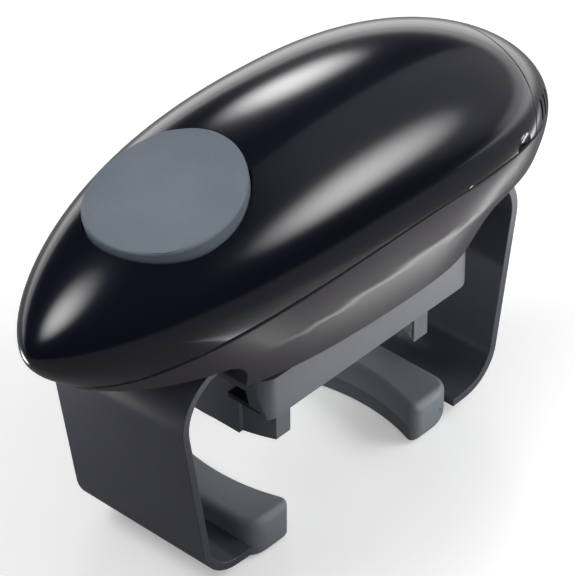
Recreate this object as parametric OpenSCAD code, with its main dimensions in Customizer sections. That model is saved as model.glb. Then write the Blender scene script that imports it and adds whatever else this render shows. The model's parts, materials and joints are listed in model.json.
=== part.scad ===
// Electric jar opener: an arched egg-shaped body that stands over the jar, two wide arms that
// close on the jar, and a turning carriage with two jaws that close on the lid.
// The origin is on the ground under the turning axis; X runs along the body, battery end at +X.

/* [Body shell] */
// Half width of the body at its widest place
body_half_w = 41.1; // [40:0.1:43]
// Height of the crown above the body's centre line
crown_h = 28.9; // [28:0.1:31]
// Depth of the belly below the centre line, before the underside is cut flat
belly_h = 38.8; // [37:0.1:41]
// Length from the widest place to the button-end nose
nose_back = 121.5; // [119:0.5:124]
// Length from the widest place to the battery-end nose
nose_front = 89; // [87:0.5:92]
// Place of the widest section along X
wide_x = 14.7; // [13:0.1:16]
// Height of the centre line at the widest section; all above the ground follows it
wide_z = 103.8; // [98:0.1:114]
// Fall of the centre line towards the battery end, in degrees
body_tilt = 4.25; // [3:0.25:5.5]
// Arch of the centre line, in thousandths of a millimetre for each square millimetre
body_arch = 0.81; // [0.7:0.01:0.9]
// Wall thickness of the shells
shell_wall = 2.4; // [2:0.1:2.8]
// Radius of the arched seam between the upper and the lower shell
seam_r = 360; // [340:5:400]
// Place of the seam's highest point along X
seam_x = 8.8; // [7:0.2:11]
// How far the seam's highest point lies below the centre line's height
seam_drop = 0.4; // [-1:0.1:1.2]
// Gap that shows as a line wherever two shells meet
shell_gap = 0.1; // [0.05:0.05:0.2]
// Half length of the skirt that hangs over the carriage
skirt_half_len = 54; // [52:0.5:56]
// How far the skirt's lower edge lies below the centre line's height
skirt_drop = 27; // [26.4:0.1:27.6]
// Depth of the oval that shapes the skirt's sides; a deeper one makes them more upright
skirt_depth = 100; // [80:1:120]
// How far the flat underside beyond the skirt lies above the skirt's edge
belly_rise = 9.2; // [8.8:0.1:10.2]
// Radius of the corner where the skirt's end meets the underside
notch_r = 6; // [3:0.5:7]
// Thickness of the skirt's floor
floor_t = 2.2; // [1.8:0.1:2.4]

/* [Battery cover] */
// Where the cover's edge crosses the seam
cover_x = 70.8; // [69:0.2:73]
// Lean of the cover's edge away from upright, in degrees
cover_lean = 31; // [25:1:36]
// Number of grip slots on each side of the cover
grip_slots = 3; // [2:1:4]
// Width of a grip slot
grip_slot_w = 1.2; // [0.8:0.1:1.6]
// Distance from one grip slot to the next
grip_slot_step = 4; // [3:0.5:5]

/* [Button] */
// Place of the button's middle along X
button_x = -52.8; // [-54:0.2:-51]
// Height of the top of the button above the centre line's height
button_rise = 25.8; // [25.2:0.1:27.2]
// Slope of the button, in degrees
button_tilt = 13; // [11:0.5:15]
// Half length of the button
button_a = 24.9; // [24:0.1:26]
// Half width of the button
button_b = 22.6; // [22:0.1:24]
// How far the button's sides lie below its middle
button_crown = 2.7; // [2:0.1:3.5]
// Height of the button's side wall, top included
button_wall_h = 8; // [7:0.1:9]
// Travel of the button
button_travel = 1.5; // [1:0.1:2]
// Clearance round the button
button_gap = 0.5; // [0.3:0.1:0.8]
// Radius of the button's stem
stem_r = 3.5; // [3:0.1:4]

/* [Arms and pads] */
// Width of an arm
arm_w = 52; // [48:0.5:52]
// Thickness of an arm
arm_t = 2.8; // [2.4:0.1:3.2]
// Height of the rack bar at an arm's top
bar_h = 4.9; // [4.7:0.1:5.1]
// Lean of an arm's wall, in degrees
arm_lean = 9.2; // [8:0.2:10]
// Outer radius of the bend at the foot
foot_bend_r = 15; // [12:0.5:16]
// Outer radius of the bend at the top
top_bend_r = 17; // [15:0.5:18]
// Distance of the foot bend's centre from the axis
foot_bend_x = 51.6; // [51:0.1:52.4]
// Where the wide band narrows to its rack
band_root_x = 50; // [49:0.5:52]
// Width of the rack bar
bar_w = 9.6; // [8:0.2:10]
// Outward travel of each arm
arm_out = 17; // [12:1:18]
// Inward travel of each arm
arm_in = 11; // [8:1:11]
// Height of a pad's underside below the arm's foot
pad_drop = 5.4; // [5:0.1:6.4]
// Height of a pad
pad_h = 15.2; // [14:0.2:17]
// Half width of a pad
pad_half_w = 26; // [25:0.1:27]
// Distance from the axis to a pad's gripping face
pad_face_x = 32.7; // [31:0.1:34]
// Distance from the axis to a pad's back
pad_back_x = 46; // [45:0.1:47]
// Radius of a pad's hollow gripping face
pad_hollow_r = 66; // [60:1:75]
// Radius of a pad's back corners, seen from above
pad_end_r = 7; // [4:0.5:8]
// Radius of a pad's gripping corners, seen from above
pad_corner_r = 3; // [2:0.5:3.5]
// Radius of a pad's rounded foot
pad_foot_r = 4.6; // [3:0.2:4.8]
// Radius of a pad's top edges
pad_top_r = 2.4; // [1:0.2:3]
// How deep the arm's tip sits in its pad
tip_depth = 6.5; // [4:0.5:7]
// Half width of the arm's tip inside its pad
tip_half_w = 17.5; // [15:0.5:17.5]

/* [Carriage and jaws] */
// Half width of the carriage
carriage_half_w = 31.5; // [30.5:0.1:32.5]
// Half length of the carriage at its top
carriage_half_len = 46.5; // [45:0.5:47]
// How much shorter each end is at the bottom
carriage_end_cut = 2.6; // [2:0.1:4]
// Height of the carriage
carriage_h = 14.5; // [14:0.1:15]
// Gap between the carriage and the skirt's edge
carriage_gap = 4.8; // [4.3:0.1:5.3]
// Radius of the carriage's corners, seen from above
carriage_corner_r = 6; // [3:0.5:8]
// Radius of the carriage's hub
hub_r = 8.5; // [8:0.1:8.8]
// Radius of the shaft that drives the jaws
jaw_shaft_r = 4; // [3.5:0.1:4.3]
// Half width of a jaw's wings
jaw_half_w = 24.8; // [24:0.1:26]
// Half width of a jaw's block where it passes the carriage
jaw_block_half_w = 14.7; // [14:0.1:16]
// Distance from the axis to the gripping teeth
jaw_face_x = 33; // [32:0.1:34]
// Radius of the hollow gripping face of a jaw
jaw_hollow_r = 55; // [50:1:65]
// Distance from the axis to the back of a jaw
jaw_back_x = 39; // [38:0.1:39.5]
// Radius of the rounded back of a jaw
jaw_back_r = 62; // [55:1:80]
// How far a jaw reaches below the carriage
jaw_drop = 16.5; // [15.5:0.1:17.5]
// Height of a jaw's wings
jaw_wing_h = 9.2; // [8.5:0.1:10]
// Outward travel of each jaw
jaw_out = 12; // [8:1:12]
// Inward travel of each jaw
jaw_in = 15; // [10:1:15]
// Thickness of a grip plate
grip_t = 0.6; // [0.5:0.1:0.8]
// Number of teeth on a grip plate
grip_teeth = 24; // [16:1:30]

/* [Gears] */
// Module of the arm and jaw pinions and their racks
rack_module = 1; // [1:1:1]
// Teeth of the arm pinion
arm_pinion_teeth = 24; // [24:4:24]
// Teeth of the jaw pinion
jaw_pinion_teeth = 16; // [16:4:16]
// Module of the planetary gears
planet_module = 0.8; // [0.7:0.1:0.8]
// Teeth of the sun gear
sun_teeth = 18; // [18:3:18]
// Teeth of each planet gear
planet_teeth = 18; // [18:3:18]
// Module of the reduction gears
train_module = 0.6; // [0.5:0.05:0.6]
// Teeth of the main gear
main_teeth = 50; // [48:1:52]
// Teeth of the second reduction gear
second_teeth = 44; // [42:1:46]
// Teeth of the first reduction gear
first_teeth = 48; // [47:1:50]
// Teeth of the small pinions
pinion_teeth = 12; // [12:1:13]
// Play between meshing teeth
backlash = 0.1; // [0.08:0.01:0.14]

/* [Motor and batteries] */
// Radius of the motor
motor_r = 10; // [9:0.1:10.2]
// Width of the motor across its flats
motor_flat = 15; // [14:0.5:16]
// Length of the motor
motor_len = 25; // [23:0.5:25.5]
// Radius of a cell
cell_r = 7.25; // [7:0.05:7.3]
// Length of a cell
cell_len = 50.5; // [49:0.5:50.5]
// Where the inner ends of the cells lie along X
cell_x = 33; // [32.5:0.5:34]

/* [Fits] */
// Clearance round parts that slide
slide_gap = 0.3; // [0.25:0.05:0.4]
// Clearance round shafts that turn
turn_gap = 0.06; // [0.04:0.01:0.08]
// Clearance of parts that are only laid in place
lay_gap = 0.05; // [0.03:0.01:0.1]

/* [Hidden] */

big = 400;
over = 1;
pressure = 20;
round_fn = 96;
small_fn = 32;
// Keeps two cuts from falling on the same face
hair = 0.02;

// Colours as the object shows them
black_gloss = [0.03, 0.03, 0.05];
dark_gloss = [0.22, 0.2, 0.22];
button_grey = [0.42, 0.46, 0.53];
arm_grey = [0.33, 0.34, 0.4];
pad_grey = [0.45, 0.48, 0.52];
bar_grey = [0.4, 0.42, 0.46];
jaw_grey = [0.2, 0.2, 0.22];
steel = [0.75, 0.75, 0.77];
gear_white = [0.9, 0.9, 0.86];
brass_tone = [0.8, 0.65, 0.3];
tray_grey = [0.3, 0.3, 0.32];

// Heights of the body's features
seam_z = wide_z - seam_drop;
skirt_z = wide_z - skirt_drop;
belly_z = skirt_z + belly_rise;
button_z = wide_z + button_rise;

// Heights of the mechanism, from the skirt's floor up
floor_top = skirt_z + floor_t;
bar_z = floor_top + slide_gap;
arm_top = bar_z + bar_h;
arm_h = arm_top - pad_drop;
ring_z = floor_top + 0.2;
ring_t = 1.1;
arm_pinion_z = ring_z + ring_t + 0.2;
drum_z = arm_top + 0.4;
drum_floor_t = 1.4;
carrier_z = drum_z + drum_floor_t + 0.2;
carrier_t = 1.4;
planet_z = carrier_z + carrier_t + 0.2;
planet_h = 3;
drum_top = planet_z + planet_h + 0.2;
chassis_z = drum_top + 0.3;
chassis_t = 1.8;
main_z = chassis_z + chassis_t + 0.3;
main_h = 2.8;
level_2_z = main_z + main_h + 0.4;
level_3_z = level_2_z + 2.6;
gear_h = 2.2;
motor_plate_z = level_3_z + gear_h + 0.5;
motor_plate_t = 1.8;
motor_z = motor_plate_z + motor_plate_t;

// Gear sizes
addendum = 0.75;
dedendum = 1.05;
arm_pinion_r = rack_module * arm_pinion_teeth / 2;
jaw_pinion_r = rack_module * jaw_pinion_teeth / 2;
sun_r = planet_module * sun_teeth / 2;
planet_r = planet_module * planet_teeth / 2;
planet_orbit = sun_r + planet_r;
ring_teeth = sun_teeth + 2 * planet_teeth;
ring_r = planet_module * ring_teeth / 2;
drum_r = ring_r + dedendum * planet_module + 2.4;
sun_shaft_r = 2.4;
planet_pin_r = 1.5;
axle_r = 1;
pinion_r = train_module * pinion_teeth / 2;
main_r = train_module * main_teeth / 2;
second_r = train_module * second_teeth / 2;
first_r = train_module * first_teeth / 2;

// The motor stands over the axis, so the three axle distances close a triangle
main_second = main_r + pinion_r;
second_first = second_r + pinion_r;
first_motor = first_r + pinion_r;
second_pos = [-main_second, 0];
first_pos_x = (second_first * second_first - first_motor * first_motor - main_second * main_second)
    / (2 * main_second);
first_pos = [first_pos_x, sqrt(first_motor * first_motor - first_pos_x * first_pos_x)];
second_to_first = atan2(first_pos[1] - second_pos[1], first_pos[0] - second_pos[0]);
first_to_motor = atan2(-first_pos[1], -first_pos[0]);
second_rot = mesh_rot(180, 0, main_teeth, pinion_teeth);
first_rot = mesh_rot(second_to_first, second_rot, second_teeth, pinion_teeth);
motor_rot = mesh_rot(first_to_motor, first_rot, first_teeth, pinion_teeth);

// Carriage levels, from its underside up
carriage_top = skirt_z - carriage_gap;
carriage_z = carriage_top - carriage_h;
jaw_z = carriage_z - jaw_drop;
cover_t = 2;
cover_z = carriage_z + 0.15;
ledge_z = cover_z + cover_t + lay_gap;
flange_z = ledge_z + slide_gap;
flange_t = 2.2;
jaw_rack_z = flange_z + flange_t + slide_gap;
jaw_rack_h = 3.3;
channel_top = jaw_rack_z + jaw_rack_h + slide_gap;
channel_half_w = 24;
mouth_half_w = jaw_block_half_w + slide_gap;
centre_half_len = 11;
cover_half_w = carriage_half_w - 3.2;

// Body places
tray_floor_t = 2;
tray_floor_z = chassis_z + chassis_t + 0.65;
cell_z = tray_floor_z + tray_floor_t + cell_r;
cell_y = cell_r + 0.35;
boss_places = [[-62, 22], [-62, -22], [59, 24], [59, -24]];
pillar_x = 30;
pillar_y = 28;
pillar_places = [[pillar_x, pillar_y], [pillar_x, -pillar_y], [-pillar_x, pillar_y], [-pillar_x, -pillar_y]];
post_places = [[20, 16], [20, -16], [-20, -21], [-33, 12]];
carriage_screw_x = 13;
carriage_screw_y = carriage_half_w - 5.4;
carriage_screw_places = [[carriage_screw_x, carriage_screw_y], [carriage_screw_x, -carriage_screw_y],
    [-carriage_screw_x, carriage_screw_y], [-carriage_screw_x, -carriage_screw_y]];
screw_r = 1.3;
boss_r = 3.4;

// ---- Shared shapes ----

// Angle of the involute, in degrees
function inv(a) = tan(a) * 180 / PI - a;

// Half the angle that a tooth fills at radius r
function tooth_half(m, z, r, play) = let (
        rp = m * z / 2,
        rb = rp * cos(pressure),
        a = acos(rb / max(r, rb)))
    90 / z - play / 4 / rp * 180 / PI + inv(pressure) - inv(a);

function polar(r, a) = [r * cos(a), r * sin(a)];

function arc(c, r, a0, a1, n) = [for (i = [0:n]) c + polar(r, a0 + (a1 - a0) * i / n)];

// Turn of gear B that puts it in mesh with gear A, which lies in direction dir + 180 from it
function mesh_rot(dir, rot_a, teeth_a, teeth_b) =
    dir + 180 - (0.5 - (dir - rot_a) * teeth_a / 360) * 360 / teeth_b;

// Outline of a gear with involute flanks between two radii
module gear_outline(m, z, tip_r, root_r, play = backlash) {
    steps = 4;
    radii = [for (i = [0:steps]) root_r + (tip_r - root_r) * i / steps];
    polygon([for (k = [0:z - 1]) each concat(
        [for (r = radii) polar(r, 360 * k / z - tooth_half(m, z, r, play))],
        [for (i = [steps:-1:0]) polar(radii[i], 360 * k / z + tooth_half(m, z, radii[i], play))])]);
}

module gear(m, z, h, rot = 0) {
    rp = m * z / 2;
    rotate([0, 0, rot])
    linear_extrude(h)
    gear_outline(m, z, rp + addendum * m, rp - dedendum * m);
}

// Rack along X with its pitch line on X and its teeth towards -Y; a gap lies at X = 0
module rack_outline(m, x0, x1, width) {
    p = PI * m;
    half = p / 4 - backlash / 4;
    tip = half - addendum * m * tan(pressure);
    root = half + dedendum * m * tan(pressure);
    first = ceil((x0 + root) / p - 0.5);
    last = floor((x1 - root) / p - 0.5);
    polygon(concat(
        [[x0, width], [x0, dedendum * m]],
        [for (k = [first:last]) let (c = (k + 0.5) * p)
            each [[c - root, dedendum * m], [c - tip, -addendum * m],
                [c + tip, -addendum * m], [c + root, dedendum * m]]],
        [[x1, dedendum * m], [x1, width]]));
}

module disc(r, h, fn = round_fn) {
    cylinder(r = r, h = h, $fn = fn);
}

module tube(r_out, r_in, h) {
    difference() {
        disc(r_out, h);
        translate([0, 0, -over]) disc(r_in, h + 2 * over);
    }
}

module oval(a, b) {
    sides = 64;
    polygon([for (i = [0:sides - 1]) [a * cos(360 * i / sides), b * sin(360 * i / sides)]]);
}

module rounded_plate(half_x, half_y, r, h) {
    linear_extrude(h) union() {
        square([2 * half_x, 2 * (half_y - r)], center = true);
        square([2 * (half_x - r), 2 * half_y], center = true);
        for (x = [-1, 1], y = [-1, 1]) {
            translate([x * (half_x - r), y * (half_y - r)]) circle(r, $fn = small_fn);
        }
    }
}

module at_each(places) {
    for (p = places) translate([p[0], p[1], 0]) children();
}

// Countersunk-free pan-head screw, head down at the origin, thread up
module screw(len, head_r = 2.4, head_h = 1.4) {
    disc(head_r, head_h, small_fn);
    disc(screw_r, head_h + len, small_fn);
}

// Wire wound into a spring round Z; the radius goes from r0 at the bottom to r1 at the top
module spring(r0, r1, wire, h, turns) {
    around = 14;
    sides = 6;
    count = round(turns * around);
    rise = h - 2 * wire;
    points = [for (i = [0:count]) for (j = [0:sides - 1]) let (
            a = 360 * i / around,
            r = r0 + (r1 - r0) * i / count + wire * cos(360 * j / sides))
        [r * cos(a), r * sin(a), wire + rise * i / count + wire * sin(360 * j / sides)]];
    faces = concat(
        [[for (j = [0:sides - 1]) j]],
        [for (i = [0:count - 1]) for (j = [0:sides - 1]) let (
                a = i * sides + j,
                b = i * sides + (j + 1) % sides)
            each [[a, a + sides, b + sides], [a, b + sides, b]]],
        [[for (j = [sides - 1:-1:0]) count * sides + j]]);
    polyhedron(points, faces, convexity = 8);
}

// ---- Body form ----

// How full the body is at a share s of the way to a nose, from -1 to 1
function swell(s) = s < 0 ? pow(max(1 - pow(-s, 2.38), 0), 1 / 1.58) : pow(max(1 - pow(s, 2.5), 0), 1 / 2);

// How far the skirt's upright sides carry on at a share s of the way to a nose
function skirt_share(s) = s > 0
    ? (s < 0.45 ? (1 + cos(180 * s / 0.45)) / 2 : 0)
    : (s > -0.35 ? 1 : s > -0.95 ? (1 + cos(180 * (-s - 0.35) / 0.6)) / 2 : 0);

// The arched egg, drawn in by a wall thickness
module egg(inset = 0, rings = 26, spokes = 36) {
    back = nose_back - inset;
    front = nose_front - inset;
    half_w = body_half_w - inset;
    crown = crown_h - inset;
    shares = [for (i = [1:rings - 1]) -cos(180 * i / rings)];
    depths = [for (s = shares) belly_h - inset + (skirt_depth - belly_h) * skirt_share(s)];
    stations = [for (s = shares) s < 0 ? s * back : s * front];
    drop = body_arch / 1000;
    points = concat(
        [[-back, 0, -drop * back * back]],
        [for (i = [0:rings - 2]) for (j = [0:spokes - 1]) let (
                a = 360 * j / spokes,
                x = stations[i],
                r = swell(shares[i]))
            [x, half_w * r * cos(a), (sin(a) > 0 ? crown : depths[i]) * r * sin(a) - drop * x * x]],
        [[front, 0, -drop * front * front]]);
    last = len(points) - 1;
    end = 1 + (rings - 2) * spokes;
    faces = concat(
        [for (j = [0:spokes - 1]) [0, 1 + j, 1 + (j + 1) % spokes]],
        [for (i = [0:rings - 3]) for (j = [0:spokes - 1]) let (
                a = 1 + i * spokes + j,
                b = 1 + i * spokes + (j + 1) % spokes)
            each [[a, a + spokes, b + spokes], [a, b + spokes, b]]],
        [for (j = [0:spokes - 1]) [last, end + (j + 1) % spokes, end + j]]);
    translate([wide_x, 0, wide_z])
    rotate([0, body_tilt, 0])
    polyhedron(points, faces, convexity = 4);
}

module egg_inside() {
    egg(shell_wall, 16, 20);
}

// Everything under the seam
module below_seam(gap = 0) {
    translate([seam_x, 0, seam_z - seam_r])
    rotate([90, 0, 0])
    cylinder(r = seam_r - gap, h = big, center = true, $fn = round_fn);
}

function seam_height(x) = seam_z - seam_r + sqrt(seam_r * seam_r - (x - seam_x) * (x - seam_x));

// Everything on the battery cover's side of its edge
module cover_side(gap = 0) {
    translate([cover_x, 0, seam_height(cover_x)])
    rotate([0, cover_lean, 0])
    translate([gap, -big / 2, -big / 2])
    cube(big);
}

// Frame of the button: Z along its travel, its crown at the origin
module at_button() {
    translate([button_x, 0, button_z]) rotate([0, -button_tilt, 0]) children();
}

// Everything above a height
module above(z) {
    translate([-big / 2, -big / 2, z]) cube(big);
}

// Everything above a height and within a distance of the axis along X
module above_within(z, half_len) {
    translate([-half_len, -big / 2, z]) cube([2 * half_len, big, big]);
}

// ---- Shells ----

// Well that the button sinks into, with a hole for its stem
well_a = button_a + button_gap;
well_b = button_b + button_gap;
well_d = button_wall_h + button_travel + 0.4;
well_t = 1.6;

module well() {
    difference() {
        translate([0, 0, -well_d - well_t])
        linear_extrude(well_d + well_t + 6)
        oval(well_a + well_t, well_b + well_t);
        translate([0, 0, -well_d]) linear_extrude(big) oval(well_a, well_b);
        translate([0, 0, -big / 2]) disc(stem_r + slide_gap, big, small_fn);
    }
}

// Shallow hollow for a thumb beside the cover
module thumb_scoop(side) {
    scoop_r = 12;
    x = cover_x - 5;
    translate([x, side * 46.8, seam_height(x) + 2]) sphere(scoop_r, $fn = 64);
}

module upper_shell() color(black_gloss) {
    difference() {
        egg();
        egg_inside();
        below_seam(-shell_gap / 2);
        cover_side();
        at_button() translate([0, 0, -30]) linear_extrude(60) oval(well_a + over, well_b + over);
        for (side = [-1, 1]) thumb_scoop(side);
    }
    intersection() {
        egg();
        at_button() well();
    }
    difference() {
        intersection() {
            at_each(boss_places) disc(boss_r, 2 * wide_z, small_fn);
            egg(shell_wall / 2, 16, 20);
        }
        below_seam(-shell_gap / 2);
        at_button() translate([0, 0, -well_d]) linear_extrude(big) oval(well_a, well_b);
        at_each(boss_places) disc(screw_r + lay_gap, seam_z + 8, small_fn);
    }
}

// Corner of the notch behind an arm, rounded where the skirt's end meets the flat underside
module notch_corner(side) {
    centre_x = side * (skirt_half_len + notch_r);
    difference() {
        translate([side * (skirt_half_len + notch_r / 2), 0, belly_z - notch_r / 2])
        cube([notch_r + 2 * over, big, notch_r + 2 * over], center = true);
        translate([centre_x, 0, belly_z - notch_r])
        rotate([90, 0, 0])
        cylinder(r = notch_r, h = big, center = true, $fn = small_fn);
        translate([centre_x, 0, belly_z - notch_r])
        cube([2 * over + 1, big, 2 * notch_r - 1], center = true);
        translate([side * (skirt_half_len + notch_r / 2), 0, belly_z - notch_r - over])
        cube([2 * notch_r, big, 2 * over], center = true);
    }
}

// What the lower shell takes in: all above the flat underside, and the skirt's middle
module lower_part(inset, floor_z, end_z) {
    intersection() {
        union() {
            above(end_z);
            above_within(floor_z, skirt_half_len - inset);
        }
        below_seam(shell_gap / 2);
    }
}

module lower_shell() color(dark_gloss) {
    end_floor = belly_z + floor_t;
    slot_half_w = arm_w / 2 + slide_gap;
    difference() {
        union() {
            difference() {
                intersection() {
                    egg();
                    union() {
                        lower_part(0, skirt_z, belly_z);
                        for (side = [-1, 1]) notch_corner(side);
                    }
                }
                intersection() {
                    egg_inside();
                    lower_part(shell_wall, floor_top, end_floor);
                }
            }
            translate([0, 0, carriage_top + 0.4]) disc(22, skirt_z - carriage_top);
            at_each(pillar_places) {
                translate([0, 0, skirt_z]) disc(3, chassis_z - skirt_z - lay_gap, small_fn);
            }
            intersection() {
                at_each(boss_places) translate([0, 0, belly_z]) disc(boss_r, seam_z, small_fn);
                below_seam(shell_gap / 2);
            }
            guide_rails();
        }
        // the arms pass here
        for (side = [-1, 1]) {
            translate([side * (skirt_half_len + 2) - 10, -slot_half_w, floor_top])
            cube([20, 2 * slot_half_w, arm_top + slide_gap - floor_top]);
        }
        translate([0, 0, carriage_z]) disc(hub_r + turn_gap, big / 4);
        at_each(pillar_places) translate([0, 0, floor_top]) disc(screw_r + lay_gap, big, small_fn);
        at_each(boss_places) {
            disc(screw_r + 0.2, big, small_fn);
            disc(2.8, belly_z + 2, small_fn);
        }
    }
}

// Rails on the skirt's floor that keep each rack bar in mesh
module guide_rails() {
    rail_t = 2;
    rail_y = arm_pinion_r + bar_w + slide_gap;
    rail_half_len = skirt_half_len - 20;
    for (side = [-1, 1]) {
        translate([-rail_half_len, side * (rail_y + rail_t / 2) - rail_t / 2, skirt_z])
        cube([2 * rail_half_len, rail_t, arm_top - skirt_z]);
    }
}

module battery_cover() color(black_gloss) {
    difference() {
        intersection() {
            egg();
            cover_side(shell_gap);
        }
        difference() {
            egg_inside();
            // upright wall behind the end contact
            translate([cover_contact_x + cover_contact_t + lay_gap, -big / 2, 0]) cube([1.4, big, big]);
        }
        below_seam(-shell_gap / 2);
        difference() {
            for (side = [-1, 1], k = [0:grip_slots - 1]) grip_slot(side, k);
            egg(1.3, 16, 20);
        }
    }
    cover_tongues();
}

module grip_slot(side, k) {
    half_len = 3;
    translate([cover_x + 9 + k * grip_slot_step, side * 34, seam_height(cover_x) + 4 - k])
    rotate([0, cover_lean - 10, 0])
    rotate([90, 0, 0])
    linear_extrude(24, center = true) {
        square([grip_slot_w, 2 * half_len], center = true);
        for (y = [-half_len, half_len]) translate([0, y]) circle(grip_slot_w / 2, $fn = small_fn);
    }
}

// Band of the inside of the body, from depth d0 to depth d1, between two places at the cover's edge
module tongue_band(d0, d1, from, to) {
    tongue_half_w = 5;
    intersection() {
        difference() {
            egg(d0, 16, 20);
            egg(d1, 16, 20);
            below_seam(-3);
        }
        difference() {
            cover_side(from);
            cover_side(to);
        }
        for (y = [-20, 20]) translate([0, y - tongue_half_w, 0]) cube([big, 2 * tongue_half_w, big]);
    }
}

// Two tongues that slide under the upper shell's edge
module cover_tongues() {
    inner = shell_wall + 1.4;
    tongue_t = 1.4;
    tongue_band(inner, inner + tongue_t, -2, 3);
    tongue_band(shell_wall / 2, inner + tongue_t, 1, 3);
}

cover_contact_x = cell_x + cell_len + lay_gap;
cover_contact_t = 0.4;

module cover_contact() color(steel) {
    translate([cover_contact_x, -cell_y - 4, cell_z - 4]) cube([cover_contact_t, 2 * cell_y + 8, 8]);
}

// ---- Button and switch ----

module crown_slab(top) {
    crown_r = (button_b * button_b + button_crown * button_crown) / (2 * button_crown);
    translate([0, 0, top - crown_r])
    rotate([0, 90, 0])
    cylinder(r = crown_r, h = big, center = true, $fn = 180);
}

module button_cap() color(button_grey) at_button() {
    edge = 0.9;
    rim_d = button_crown + 1.6;
    wall = 1.8;
    hull() {
        intersection() {
            crown_slab(0);
            translate([0, 0, -rim_d]) linear_extrude(rim_d + over) oval(button_a - edge, button_b - edge);
        }
        intersection() {
            crown_slab(-edge);
            translate([0, 0, -rim_d]) linear_extrude(rim_d + over) oval(button_a, button_b);
        }
    }
    difference() {
        translate([0, 0, -button_wall_h]) linear_extrude(button_wall_h - rim_d) oval(button_a, button_b);
        translate([0, 0, -button_wall_h - over])
        linear_extrude(button_wall_h - rim_d + 2 * over)
        oval(button_a - wall, button_b - wall);
    }
    translate([0, 0, -switch_d]) disc(stem_r, switch_d - rim_d, small_fn);
}

// Depth of the switch plunger's top below the button's crown
switch_d = button_wall_h + button_travel + 5;
plunger_h = 3;
switch_h = 5;
bracket_len = 16;
bracket_w = 18;
spring_top = button_crown + 1.6 + lay_gap;
spring_bottom = well_d - lay_gap;

module button_spring() color(steel) at_button() {
    translate([0, 0, -spring_bottom]) spring(6.5, 6.5, 0.4, spring_bottom - spring_top, 4);
}

module switch_plunger() color(tray_grey) at_button() {
    translate([0, 0, -switch_d - plunger_h - lay_gap]) disc(1.6, plunger_h, small_fn);
}

module switch_body() color(tray_grey) at_button() {
    top = switch_d + plunger_h / 2 + 0.4;
    difference() {
        translate([-5, -5, -top - switch_h]) cube([10, 10, switch_h]);
        translate([0, 0, -top - plunger_h / 2 - button_travel - 0.2]) disc(1.6 + 0.1, big, small_fn);
    }
    for (x = [-3, 3], y = [-6, 5]) {
        translate([x - 0.4, y, -top - switch_h]) cube([0.8, 1, 2]);
    }
}

module switch_bracket() color(tray_grey) {
    seat_d = switch_d + plunger_h / 2 + 0.4 + switch_h + lay_gap;
    wall = 3;
    foot_z = chassis_z + chassis_t + lay_gap;
    difference() {
        translate([button_x - 3, -bracket_w / 2, foot_z]) cube([bracket_len, bracket_w, button_z - foot_z]);
        at_button() translate([-big / 2, -big / 2, -seat_d]) cube(big);
        translate([button_x - 3 - over, wall - bracket_w / 2, foot_z + 2])
        cube([bracket_len + 2 * over, bracket_w - 2 * wall, 8]);
    }
}

// ---- Arms ----

// Side profile of the +X arm, foot at the bottom
module arm_profile(tip_x) {
    steps = 12;
    c1 = [foot_bend_x, foot_bend_r];
    rise = arm_h - top_bend_r - foot_bend_r;
    step_x = (foot_bend_r - top_bend_r + rise * sin(arm_lean)) / cos(arm_lean);
    c2 = [foot_bend_x + step_x, arm_h - top_bend_r];
    polygon(concat(
        [[tip_x, 0]],
        arc(c1, foot_bend_r, -90, -arm_lean, steps),
        arc(c2, top_bend_r, -arm_lean, 90, steps),
        [[band_root_x, arm_h], [band_root_x, arm_h - arm_t]],
        arc(c2, top_bend_r - arm_t, 90, -arm_lean, steps),
        arc(c1, foot_bend_r - arm_t, -arm_lean, -90, steps),
        [[tip_x, arm_t]]));
}

module arm() {
    rack_reach = 20;
    bar_h = arm_top - bar_z;
    difference() {
        translate([0, 0, pad_drop])
        rotate([90, 0, 0])
        linear_extrude(arm_w, center = true)
        arm_profile(pad_back_x - tip_depth);
        // the tip narrows where it enters the pad
        for (side = [-1, 1]) {
            translate([0, side * (tip_half_w + big / 2) - big / 2, 0])
            cube([pad_back_x + 0.2, big, pad_drop + arm_t + over]);
        }
    }
    // rack bar on the -Y side, teeth towards the axis
    translate([0, 0, bar_z])
    linear_extrude(bar_h)
    mirror([0, 1])
    translate([0, arm_pinion_r])
    rack_outline(rack_module, -rack_reach, band_root_x + over, bar_w);
}

module arm_right() color(arm_grey) arm();

module arm_left() color(arm_grey) rotate([0, 0, 180]) arm();

// A pad seen from one side, rounded at its foot and at its top
module pad_side(half_len) {
    waist = pad_h / 2;
    foot = half_len - pad_foot_r;
    top = half_len - pad_top_r;
    translate([-half_len, pad_foot_r]) square([2 * half_len, pad_h - pad_foot_r - pad_top_r]);
    translate([-foot, 0]) square([2 * foot, waist]);
    translate([-top, waist]) square([2 * top, pad_h - waist]);
    for (side = [-1, 1]) {
        translate([side * foot, pad_foot_r]) circle(pad_foot_r, $fn = round_fn);
        translate([side * top, pad_h - pad_top_r]) circle(pad_top_r, $fn = round_fn);
    }
}

// A pad seen from above: a hollow gripping face between two rounded horns
module pad_block() {
    hollow_x = pad_face_x - pad_hollow_r;
    horn_y = pad_half_w - pad_corner_r;
    horn_reach = pad_hollow_r + pad_corner_r;
    horn_x = hollow_x + sqrt(horn_reach * horn_reach - horn_y * horn_y);
    touch_y = horn_y * pad_hollow_r / horn_reach;
    difference() {
        rounded_plate(pad_back_x, pad_half_w, pad_end_r, pad_h);
        translate([hollow_x, 0, -over]) cylinder(r = pad_hollow_r, h = pad_h + 2 * over, $fn = 180);
        for (side = [-1, 1]) {
            translate([horn_x - big, side * (touch_y + big / 2) - big / 2, -over]) cube(big);
        }
    }
    for (side = [-1, 1]) translate([horn_x, side * horn_y, 0]) disc(pad_corner_r, pad_h);
}

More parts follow.
